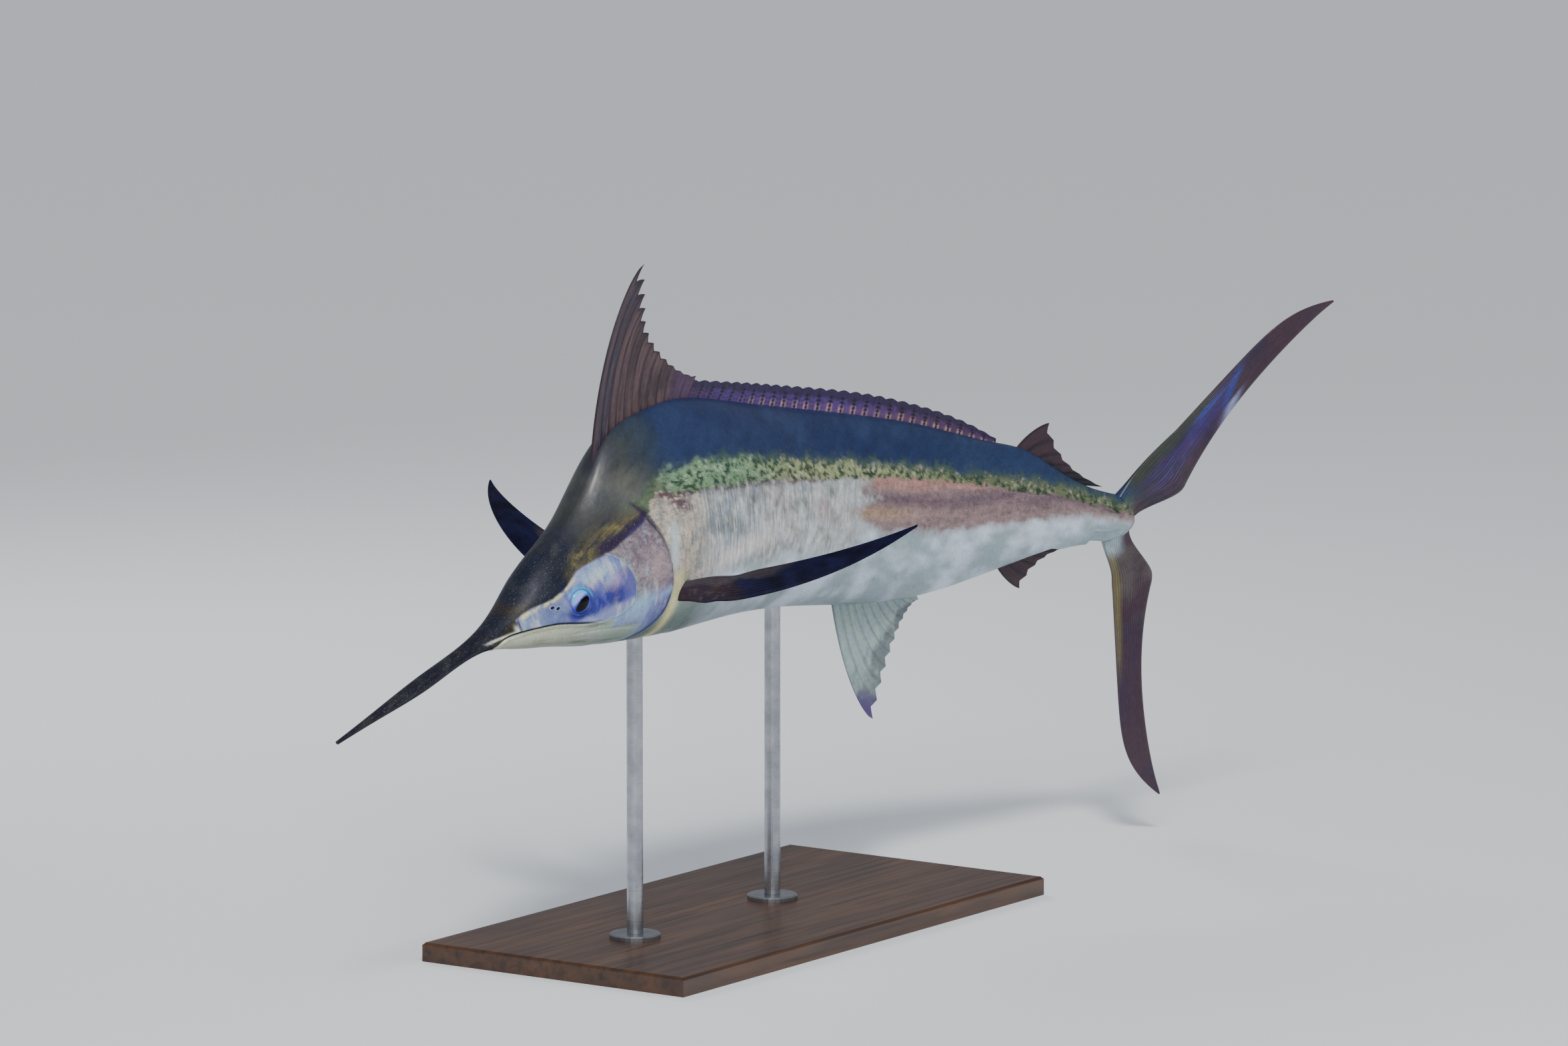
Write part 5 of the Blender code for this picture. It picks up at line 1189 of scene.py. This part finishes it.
def build_low_dorsal(surface):
    """Long low part of the first dorsal fin, with pale streaks and rows of dark spots."""
    mid, half, w, off, v = median_grid(base_places(LOW_SPAN), low_tip, lambda w: 0.0,
                                       rays=LOW_RAYS + 1, per_ray=14, row_count=34, notch=0.10,
                                       root_half=0.0008, edge_half=0.00040, ray_high=0.0004)
    s = mid[..., 0]
    phase = w * LOW_RAYS
    mottle = noise(s * 120.0, mid[..., 1] * 120.0, 73)
    tone = mix(LOW_VIOLET, LOW_PURPLE, ease((s - 0.55) / 0.15 + 0.4 * mottle))
    tone = mix(tone, LOW_PURPLE, falling(s, 0.400, 0.05) * 0.8)
    tone = mix(tone, LOW_TOP, 0.90 * ease((v - 0.46 + 0.18 * mottle) / 0.30))
    glow = ease((0.47 - v + 0.12 * mottle) / 0.22) * rising(s, 0.41, 0.05)
    uneven = np.clip(0.80 + 0.9 * noise(phase * 2.3, phase * 0.4, 149), 0.35, 1.0)
    pale = 0.05 + uneven * bump(off - 0.150, 0.070)
    tone = mix(tone, LOW_STREAK, np.clip(glow * pale, 0.0, 0.62))
    wobble = 0.04 * noise(phase * 1.7, phase * 0.3, 79)
    for level, wide in ((0.15, 0.095), (0.32, 0.13), (0.49, 0.17), (0.66, 0.15)):
        spot = bump(off, wide) * bump(v - level - wobble, 0.055)
        tone = mix(tone, LOW_SPOT, np.clip(spot * 1.7, 0.0, 0.97))
    for level in (0.24, 0.44):
        spot = bump(off - 0.36, 0.07) * bump(v - level + wobble, 0.045)
        tone = mix(tone, LOW_SPOT, np.clip(spot * falling(s, 0.60, 0.1), 0.0, 0.8))
    slab_piece("first_dorsal_low_fin", upright_sheets(mid, half), shade(tone, 0.15 * mottle), surface,
               "violet_fin", "first_dorsal_front_length", "first_dorsal_middle_length",
               "first_dorsal_rear_length")


def falcate_tip(tip_s, height, lobe_s, lobe_height, fall, lower):
    """Tip curve of a small curved fin."""
    foot = base_line(tip_s, lower)

    def tip(w):
        high = lobe_height + (height - lobe_height) * (1.0 - w) ** fall
        return tip_s + (lobe_s - tip_s) * w ** 1.25, (1.0 - w) * foot + w * base_line(lobe_s, lower) + high

    return tip


def build_small_fins(surface, pale_surface):
    """Second dorsal fin and the two anal fins."""
    small = (("second_dorsal", SECOND_BASE, 0.8640, 0.0390, 0.9420, False),
             ("second_anal", SECOND_ANAL_BASE, 0.8550, 0.0320, 0.9250, True))
    for name, span, tip_s, height, lobe_s, lower in small:
        tip = falcate_tip(tip_s, height, lobe_s, lobe_height=0.0045, fall=2.6, lower=lower)
        mid, half, w, off, v = median_grid(base_places(span, lower), tip, lambda w: 0.017 * (1.0 - w),
                                           rays=SECOND_RAYS, per_ray=10, row_count=34, notch=0.05,
                                           root_half=0.0008, edge_half=0.00035, ray_high=0.0006)
        mottle = noise(mid[..., 0] * 150.0, mid[..., 1] * 150.0, 79)
        ink = ease((w - 0.30 - 0.25 * v + 0.25 * mottle) / 0.25)
        tone = mix(mix(MAROON, FIN_INK, np.clip(ink, 0.0, 0.85)), FIN_INK, 0.6 * bump(off, 0.12))
        slab_piece(name + "_surface", upright_sheets(mid, half, -1.0 if lower else 1.0), tone, surface,
                   "dark_fin", name + "_fin")
    tip = falcate_tip(tip_s=0.6780, height=0.1200, lobe_s=0.7180, lobe_height=0.0060, fall=1.9, lower=True)
    mid, half, w, off, v = median_grid(base_places(ANAL_BASE, True), tip, lambda w: 0.034 * (1.0 - w),
                                       rays=ANAL_RAYS, per_ray=12, row_count=50, notch=0.025,
                                       root_half=0.0012, edge_half=0.00040, ray_high=0.0005)
    mottle = noise(mid[..., 0] * 120.0, mid[..., 1] * 60.0, 83)
    tone = mix(ANAL_PALE, BELLY_GREEN, ease(0.5 + mottle))
    tone = mix(tone, ANAL_RAY, 0.45 * bump(off, 0.14))
    tone = mix(tone, ANAL_GREY, 0.65 * ease((v - 0.72 + 0.25 * mottle) / 0.25))
    tone = mix(tone, ANAL_TIP, ease((mid[..., 1] - 0.170 + 0.01 * mottle) / 0.03) * 0.9)
    slab_piece("first_anal_surface", upright_sheets(mid, half, -1.0), tone, pale_surface, "pale_fin",
               "first_anal_fin")


def tail_lead(q):
    """Front edge of a tail lobe, foot to tip."""
    s = STALK_TOP_END - 0.001 + TAIL_SWEEP * q + 0.040 * q ** 12
    return np.stack([s, TAIL_FOOT + (TAIL_TIP - TAIL_FOOT) * q], -1)


def tail_trail(q):
    """Rear edge of a tail lobe, fork to tip."""
    s = FORK_STATION + 0.087 * q ** 1.6 - 0.009 * np.sin(np.pi * q) + 0.0045 * q ** 20
    return np.stack([s, TAIL_TIP * (0.985 * q + 0.010 * q ** 20)], -1)


def tail_grid(side):
    """Middle places and half thickness of a tail lobe, with shares along, off and up it."""
    w, off = ray_grid(TAIL_RAYS, per_ray=8)
    u = np.linspace(0.0, 1.0, 74)[:, None]
    inner = 1.0 - w
    spread = w[:, None]
    whole = tail_lead(u) + (tail_trail(u) - tail_lead(u)) * spread
    foot = np.stack([stalk_end(inner), TAIL_ROOT_HALF * inner], -1)
    mid = foot + whole - tail_lead(np.array(0.0)) * (1.0 - spread) - tail_trail(np.array(0.0)) * spread
    settle = ease(u / 0.18)[..., None]
    mid = mid * (1.0 - settle) + whole * settle
    if side < 0.0:
        stretch = 1.0 + (LOWER_SWEEP - 1.0) * np.minimum(u / 0.2, 1.0)
        mid[..., 0] = STALK_TOP_END + (mid[..., 0] - STALK_TOP_END) * stretch
        mid[..., 0] += (LOWER_SHIFT[0] * inner + LOWER_SHIFT[1] * w) * ease(u / 0.15) * (1.0 - u)
    root = surface_offset(np.minimum(stalk_end(inner), 0.99), TAIL_ROOT_HALF * inner * 0.96)
    thin = 0.0019 * (1.0 - u) ** 0.8 * np.sin(np.pi * np.clip(w * 0.86 + 0.10, 0.0, 1.0)) ** 0.6 + 0.00045
    blend = np.exp(-u / 0.07)
    ridge = 0.0007 * bump(off, 0.16) * np.minimum(u / 0.1, 1.0) * (1.0 - u ** 3)
    edge = np.minimum(w / 0.03, 1.0) ** 0.5 * np.minimum(inner / 0.02 + 0.25, 1.0)
    return mid, (root * blend + thin * (1.0 - blend) + ridge) * (0.3 + 0.7 * edge), w, off, u


def upper_lobe_tone(tone, w, v, flow, fine, lead):
    """Olive foot, violet and blue sweep and pale edge of the upper tail lobe."""
    slope = v + 0.22 * (w - 0.5)
    strand = noise(w * 60.0, v * 12.0, 109)
    violet = ease((0.60 - slope + 0.03 * flow) / 0.05) * bump(w - 0.46, 0.30) * rising(v, 0.02, 0.12)
    tone = mix(tone, TAIL_VIOLET, np.clip(violet * (0.62 + 0.8 * flow + 0.3 * fine), 0.0, 0.90))
    foot_end = ease((0.40 - v + 0.05 * flow) / 0.16)
    tone = mix(tone, TAIL_OLIVE, 0.60 * foot_end * ease(0.30 + 1.8 * strand))
    tone = mix(tone, TAIL_MAUVE, 0.60 * bump(w - 0.62, 0.22) * foot_end * ease(0.30 - 1.8 * strand))
    blue = bump(w - 0.26 - 0.05 * flow, 0.09) * bump(v - 0.45, 0.09)
    tone = mix(tone, TAIL_BLUE, np.clip(blue * (0.50 + 1.6 * strand), 0.0, 0.80))
    blue = bump(slope - 0.55 - 0.015 * flow, 0.028) * bump(w - 0.42, 0.25)
    tone = mix(tone, TAIL_BLUE, np.clip(blue * (0.75 + 1.6 * strand), 0.0, 0.88))
    tone = mix(tone, TAIL_PALE, 0.8 * bump(slope - 0.60, 0.045) * rising(w, 0.66, 0.14))
    tone = mix(tone, TAIL_OLIVE, 0.85 * lead * falling(v, 0.56, 0.12))
    return mix(tone, TAIL_OLIVE, 0.55 * bump(v - 0.06, 0.06) * ease(0.5 + fine))


def lower_lobe_tone(tone, w, v, flow, mottle):
    """Grey foot and pale front edge of the lower tail lobe."""
    tone = mix(tone, TAIL_GREY, 0.6 * falling(v, 0.45, 0.3) * ease(0.4 + mottle))
    tone = mix(tone, TAIL_STRAW, 0.80 * bump(w - 0.10, 0.10) * falling(v, 0.62, 0.2))
    return mix(tone, TAIL_VIOLET, 0.30 * bump(v - 0.55, 0.16) * ease(0.4 + flow))


def build_tail(surface):
    """Upper and lower lobes of the tail fin."""
    for name, side in (("upper", 1.0), ("lower", -1.0)):
        mid, half, w, off, v = tail_grid(side)
        s, z = mid[..., 0], mid[..., 1]
        mottle = noise(s * 60.0, z * 40.0, 89)
        fine = noise(s * 200.0, z * 200.0, 97)
        flow = noise(w * 14.0, v * 5.0 - w * 3.0, 107)
        tone = mix(TAIL_BROWN, FIN_NAVY, 0.5 * ease(0.3 + mottle))
        if side > 0.0:
            lead = ease((0.26 - w + 0.05 * mottle) / 0.16)
            tone = upper_lobe_tone(tone, w, v, flow, fine, lead)
        else:
            tone = lower_lobe_tone(tone, w, v, flow, mottle)
        stalk = skin_tone(s.ravel(), (z * side).ravel())[0].reshape(tone.shape)
        tone = mix(tone, stalk, falling(v, 0.09, 0.07) * falling(w, 0.7, 0.4))
        tone = shade(mix(tone, FIN_INK, 0.35 * bump(off, 0.15)), 0.18 * fine)
        slab_piece(f"tail_{name}_surface", upright_sheets(mid, half, side), np.clip(tone, 0.0, 1.0), surface,
                   "dark_fin", f"tail_{name}_lobe")


def pectoral_grids(side, w, off, u):
    """Body places of both sides of a pectoral fin, before it is turned to its side of the fish."""
    out, back, rise = PECTORAL_REACH[side]
    span = np.array([back, out, rise])
    length = np.linalg.norm(span)
    span = span / length
    sag, sweep = PECTORAL_SAG[side]
    start, end = PECTORAL_TWIST[side]
    root = np.array([PECTORAL_STATION, surface_offset(PECTORAL_STATION, PECTORAL_HEIGHT), PECTORAL_HEIGHT])
    near = 1.0 - ease(u / 0.18)
    turn = np.radians(start * (1.0 - u) + end * u + PECTORAL_ROOT_TURN * near)
    chord = np.concatenate([-np.cos(turn), 0.0 * turn, np.sin(turn)], -1)
    normal = np.cross(chord, span)
    normal *= np.sign(normal[:, 2:]) / np.linalg.norm(normal, axis=1)[:, None]
    width = PECTORAL_ROOT + (PECTORAL_CHORD - PECTORAL_ROOT) * ease(u / 0.27)
    width = width * (1.0 - 0.95 * u ** 1.9)
    centre = root + span * length * u - np.array([sweep, 0.0, sag]) * 4.0 * u * (1.0 - u)
    centre += np.array([PECTORAL_ROOT_SHIFT[0], 0.0, PECTORAL_ROOT_SHIFT[1]]) * near
    thick = 0.0026 * (1.0 - u) ** 1.1 * np.sin(np.pi * np.clip(w * 0.90 + 0.06, 0.0, 1.0)) ** 0.6 + 0.00040
    thick = thick + 0.00045 * bump(off, 0.18) * (1.0 - 0.6 * u) * np.minimum(u / 0.12, 1.0)
    thick = thick * (0.25 + 0.75 * np.minimum(w / 0.04, 1.0) ** 0.5)
    middle = centre[:, None] + (chord * width)[:, None] * (0.5 - w)[:, None]
    grids = [middle + normal[:, None] * thick[..., None] * way for way in (1.0, -1.0)]
    for grid in grids:
        skin = surface_offset(grid[..., 0], grid[..., 2]) - PECTORAL_SINK
        grid[..., 1] = np.maximum(grid[..., 1], skin)
        grid[0, :, 1] = skin[0]
    return grids


def build_pectorals(surface):
    """Pair of long curved fins held out like wings."""
    w, off = ray_grid(PECTORAL_RAYS, per_ray=8)
    v = np.linspace(0.0, 1.0, 80)[:, None] ** 1.15
    for side, sign in (("left", 1.0), ("right", -1.0)):
        grids = pectoral_grids(side, w, off, v)
        s, y = grids[0][..., 0], grids[0][..., 1]
        mottle = noise(s * 90.0, y * 60.0, 101)
        painted_glints = noise(s * 420.0, y * 420.0, 157)
        tone = mix(FIN_NAVY, FIN_INK, ease(0.5 + 0.8 * mottle))
        tone = mix(tone, FIN_ROOT, ease((0.34 - v + 0.12 * mottle) / 0.30) * 0.85)
        # Painted sheen on the rear half near the root, and painted glints near the root.
        sheen = ease((w - 0.55 + 0.2 * mottle) / 0.2) * ease((0.44 - v + 0.08 * mottle) / 0.12)
        tone = mix(tone, FIN_SHEEN, 0.60 * sheen)
        tone = mix(tone, FIN_SHEEN, 0.70 * ease(2.0 * painted_glints - 0.25) * falling(v, 0.30, 0.14))
        tone = mix(tone, FIN_INK, 0.35 * bump(off, 0.16))
        sheets = [place(g[..., 0], g[..., 1] * sign, g[..., 2]) for g in grids]
        slab_piece(side + "_pectoral_surface", sheets, tone, surface, "navy_fin", side + "_pectoral_fin")


def build_pelvics(surface):
    """Pair of thread-like fins folded into the groove under the belly."""
    share = np.linspace(0.0, 1.0, 60)[:, None]
    turn = np.linspace(0.0, 2.0 * math.pi, 17)[:-1]
    s = PELVIC_SPAN[0] + (PELVIC_SPAN[1] - PELVIC_SPAN[0]) * share + 0.0 * turn
    wide = 0.0017 * (1.0 - 0.70 * share)
    tall = 0.0015 * (1.0 - 0.6 * share)
    roof = GROOVE_DEPTH - PELVIC_GAP / UNIT - bottom_depth(s)
    y = (0.00035 + wide + wide * np.cos(turn)).ravel()
    z = (roof - tall + tall * np.sin(turn)).ravel()
    for side, sign in (("left", 1.0), ("right", -1.0)):
        table = np.stack([s.ravel(), y * sign, z], -1)
        tone = mix(FIN_NAVY, MAROON, ease(0.4 + noise(s.ravel() * 200.0, z * 200.0, 103)))
        piece = add_mesh(side + "_pelvic_surface", place(*table.T), tube_faces(*s.shape), tone,
                         sheet=table * UNIT)
        finish_piece(piece, surface, "navy_fin", side + "_pelvic_fin")


def skin_frame(s, z, sign):
    """Place on the skin with the directions along, up and out of it."""
    step = 0.002

    def spot_at(s, z):
        return place(s, surface_offset(s, z) * sign, z)

    spot = spot_at(s, z)
    ahead = spot_at(s - step, z) - spot
    ahead /= np.linalg.norm(ahead)
    out = np.cross(spot_at(s, z + step) - spot, ahead) * sign
    out /= np.linalg.norm(out)
    over = np.cross(ahead, out) * sign
    return spot, ahead, over / np.linalg.norm(over), out


# Eyes
EYE_PALE = linear(150, 158, 208)
EYE_BLUE = linear(88, 96, 190)
EYE_DEEP = linear(28, 34, 120)
EYE_RIM = linear(60, 60, 190)
EYE_EDGE = linear(74, 82, 160)
PUPIL = linear(1, 1, 3)
PUPIL_TILT = math.radians(30.0)
PUPIL_CENTRE = (-0.02, -0.13)
PUPIL_HALVES = (0.62, 0.34)
PUPIL_SIZE = 0.83
EYE_ROWS = 56
EYE_COLUMNS = 96


def eye_tone(u, v):
    """Colour of the eye at a place on its face, u to the front and v up, in eye radii."""
    tone = mix(EYE_PALE, EYE_BLUE, ease((0.25 - v) / 0.5))
    tone = mix(tone, EYE_DEEP, 0.8 * falling(v, -0.25, 0.5))
    radius = np.hypot(u, v)
    tone = mix(tone, CYAN, bump(radius - 0.80, 0.08) * rising(v, 0.1, 0.3))
    du = u - PUPIL_CENTRE[0]
    dv = v - PUPIL_CENTRE[1]
    a = (-du * math.cos(PUPIL_TILT) + dv * math.sin(PUPIL_TILT)) / PUPIL_HALVES[0]
    b = (du * math.sin(PUPIL_TILT) + dv * math.cos(PUPIL_TILT)) / PUPIL_HALVES[1]
    pupil = PUPIL_SIZE * np.sqrt(a * a + b * b)
    tone = mix(tone, EYE_RIM, bump(pupil - 1.12, 0.12) * 0.9)
    tone = mix(tone, PUPIL, falling(pupil, 1.06, 0.10))
    return mix(tone, EYE_EDGE, rising(radius, 0.84, 0.10) * falling(v, 0.3, 0.4))


def build_eyes():
    """Eyes with a long pupil under a clear cornea, and rimmed nostrils."""
    surface = make_eye_material()
    skin = bpy.data.materials["marlin_skin"]
    polar = np.pi * np.arange(EYE_ROWS + 1)[:, None] / EYE_ROWS
    turn = 2.0 * np.pi * np.arange(EYE_COLUMNS) / EYE_COLUMNS
    u = (np.sin(polar) * np.cos(turn)).ravel()[:, None]
    v = (np.sin(polar) * np.sin(turn)).ravel()[:, None]
    depth = np.repeat(np.cos(polar), EYE_COLUMNS)[:, None]
    numbers = np.arange(len(u)).reshape(EYE_ROWS + 1, EYE_COLUMNS)
    tone = eye_tone(u[:, 0], v[:, 0])
    sheet = np.hstack([u, v, 0.0 * u]) * EYE_RADIUS * UNIT
    for side, sign in (("left", 1.0), ("right", -1.0)):
        spot, ahead, over, out = skin_frame(EYE_STATION, EYE_HEIGHT, sign)
        flat = (ahead * u + over * v) * EYE_RADIUS
        points = spot + (flat + out * (depth * EYE_DEPTH_RADIUS - EYE_SINK)) * UNIT
        piece = add_mesh(side + "_eyeball", points, grid_faces(numbers, closed=True), tone, sheet=sheet)
        finish_piece(piece, surface, "eye", side + "_eye")
        for k, (s, z) in enumerate(NOSTRILS):
            add_nostril(f"{side}_nostril_{k + 1}", s, z, sign, skin)


# Nostrils
NOSTRIL_PROFILE = np.array(((0.0, -0.0032), (0.45, -0.0028), (0.72, -0.0012), (0.90, 0.0004),
                            (1.10, 0.0008), (1.40, 0.0003), (1.75, -0.0010), (2.0, -0.0030)))
NOSTRIL_HALVES = (0.0058, 0.0039)
NOSTRIL_COUNT = 28
NOSTRIL_PIT_SHADE = linear(4, 4, 8)


def add_nostril(name, s, z, sign, surface):
    """Low rim round a pit, with painted shade in the pit and on the rim's inner edge."""
    spot, ahead, over, out = skin_frame(s, z, sign)
    dent = skin_relief(np.array(s), np.array(z), np.array(0.0), np.array(s - COVER_MIDDLE)) + NOSTRIL_DENT
    turn = 2.0 * np.pi * np.arange(NOSTRIL_COUNT)[:, None] / NOSTRIL_COUNT
    around = ahead * NOSTRIL_HALVES[0] * np.cos(turn) + over * NOSTRIL_HALVES[1] * np.sin(turn)
    share, high = NOSTRIL_PROFILE[:, :1, None], NOSTRIL_PROFILE[:, 1:, None]
    points = (spot + out * UNIT * dent + around * share + out * high).reshape(-1, 3)
    rim = skin_tone(np.array([s]), np.array([z]))[0][0]
    # Painted shade: near black in the pit, darker on the rim's inner edge.
    tones = [NOSTRIL_PIT_SHADE] * 3 + [rim * 0.7] + [rim] * 4
    numbers = np.arange(len(points)).reshape(len(NOSTRIL_PROFILE), NOSTRIL_COUNT)
    zero = np.zeros(len(points))
    piece = add_mesh(name, points, grid_faces(numbers, closed=True), np.repeat(tones, NOSTRIL_COUNT, axis=0),
                     sheet=points, speck=zero, streak=zero, silver=zero)
    finish_piece(piece, surface, "dark_skin")


def dress_stand():
    """Finishes of the stand's own solids."""
    wood = make_wood_material()
    steel = make_steel_material()
    for name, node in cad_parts.items():
        if name.startswith("stand_"):
            node.data.materials.clear()
            node.data.materials.append(wood if name == "stand_base" else steel)


# Light and sky; each lamp has its name, place, size, power, colour and whether it shows in reflections
LIGHT_TARGET = (0.0, 0.0, 0.9)
WARM_WHITE = (1.0, 0.985, 0.96)
SENSOR_WIDTH = 36.0
SUN_POWER = 1.9
SUN_ANGLE = math.radians(9.0)
SUN_DIRECTION = (0.62, 0.46, -0.80)
SKY_COLOUR = (0.80, 0.84, 0.90, 1.0)
SKY_STRENGTH = 0.34
LAMPS = (("key_light", (-4.2, -3.4, 5.4), (2.6, 2.6), 260.0, WARM_WHITE, True),
         ("fill_light", (2.6, -6.4, 1.9), (3.5, 2.0), 90.0, (0.94, 0.97, 1.0), False),
         ("back_light", (2.4, 4.6, 4.2), (3.5, 2.5), 150.0, (0.96, 0.98, 1.0), False))


def add_camera():
    """Camera as fitted to the picture."""
    azimuth = math.radians(CAMERA_AZIMUTH)
    height = math.radians(CAMERA_ELEVATION)
    away = Vector((math.sin(azimuth) * math.cos(height), -math.cos(azimuth) * math.cos(height),
                   math.sin(height)))
    right = Vector((math.cos(azimuth), math.sin(azimuth), 0.0))
    focal = PIXELS_PER_UNIT * CAMERA_DISTANCE
    target = Vector(place(MID_STATION, 0.0, 0.0))
    distance = CAMERA_DISTANCE * UNIT
    spot = target + away * distance
    shift_right = (IMAGE_WIDTH / 2.0 - TARGET_PIXEL[0]) / focal * distance
    shift_down = (TARGET_PIXEL[1] - IMAGE_HEIGHT / 2.0) / focal * distance
    lens = bpy.data.cameras.new("camera")
    lens.sensor_width = SENSOR_WIDTH
    lens.lens = focal / IMAGE_WIDTH * SENSOR_WIDTH
    lens.clip_end = 400.0
    camera = link_object("camera", lens)
    camera.location = spot
    aim(camera, target + right * shift_right + away.cross(right) * shift_down - spot)
    bpy.context.scene.camera = camera


def add_floor():
    """Pale plain floor."""
    points = [(x * FLOOR_HALF, y * FLOOR_HALF, 0.0) for x, y in ((-1, -1), (1, -1), (1, 1), (-1, 1))]
    mesh = bpy.data.meshes.new("floor")
    mesh.from_pydata(points, [], [(0, 1, 2, 3)])
    mesh.materials.append(Nodes("pale_floor").finish(colour=rgba(210, 213, 217), rough=0.7))
    floor = link_object("floor", mesh)


def add_lights():
    """Soft sun, three square lamps turned to the fish, and a pale sky."""
    sun = bpy.data.lights.new("sun_light", "SUN")
    sun.energy = SUN_POWER
    sun.angle = SUN_ANGLE
    sun.color = WARM_WHITE
    aim(link_object("sun_light", sun), SUN_DIRECTION)
    for name, spot, size, power, colour, glossy in LAMPS:
        lamp = bpy.data.lights.new(name, "AREA")
        lamp.shape = "RECTANGLE"
        lamp.size, lamp.size_y = size
        lamp.energy = power
        lamp.color = colour
        item = link_object(name, lamp)
        item.location = spot
        aim(item, Vector(LIGHT_TARGET) - Vector(spot))
        item.visible_glossy = glossy
    world = bpy.data.worlds.new("studio")
    world.use_nodes = True
    background = world.node_tree.nodes["Background"]
    background.inputs["Color"].default_value = SKY_COLOUR
    background.inputs["Strength"].default_value = SKY_STRENGTH
    bpy.context.scene.world = world


add_camera()
add_floor()
add_lights()
build_skin()
fin_surface = make_fin_material("marlin_fin", 0.42, 0.20, 0.75)
tail_surface = make_fin_material("marlin_tail", 0.36, 0.28, 0.30)
navy_surface = make_fin_material("marlin_navy_fin", 0.58, 0.0, 0.40, 0.10)
pale_surface = make_fin_material("marlin_pale_fin", 0.42, 0.20, 0.35)
build_lobe(fin_surface)
build_low_dorsal(fin_surface)
build_small_fins(fin_surface, pale_surface)
build_tail(tail_surface)
build_pectorals(navy_surface)
build_pelvics(navy_surface)
build_eyes()
dress_stand()

bpy.context.view_layer.update()
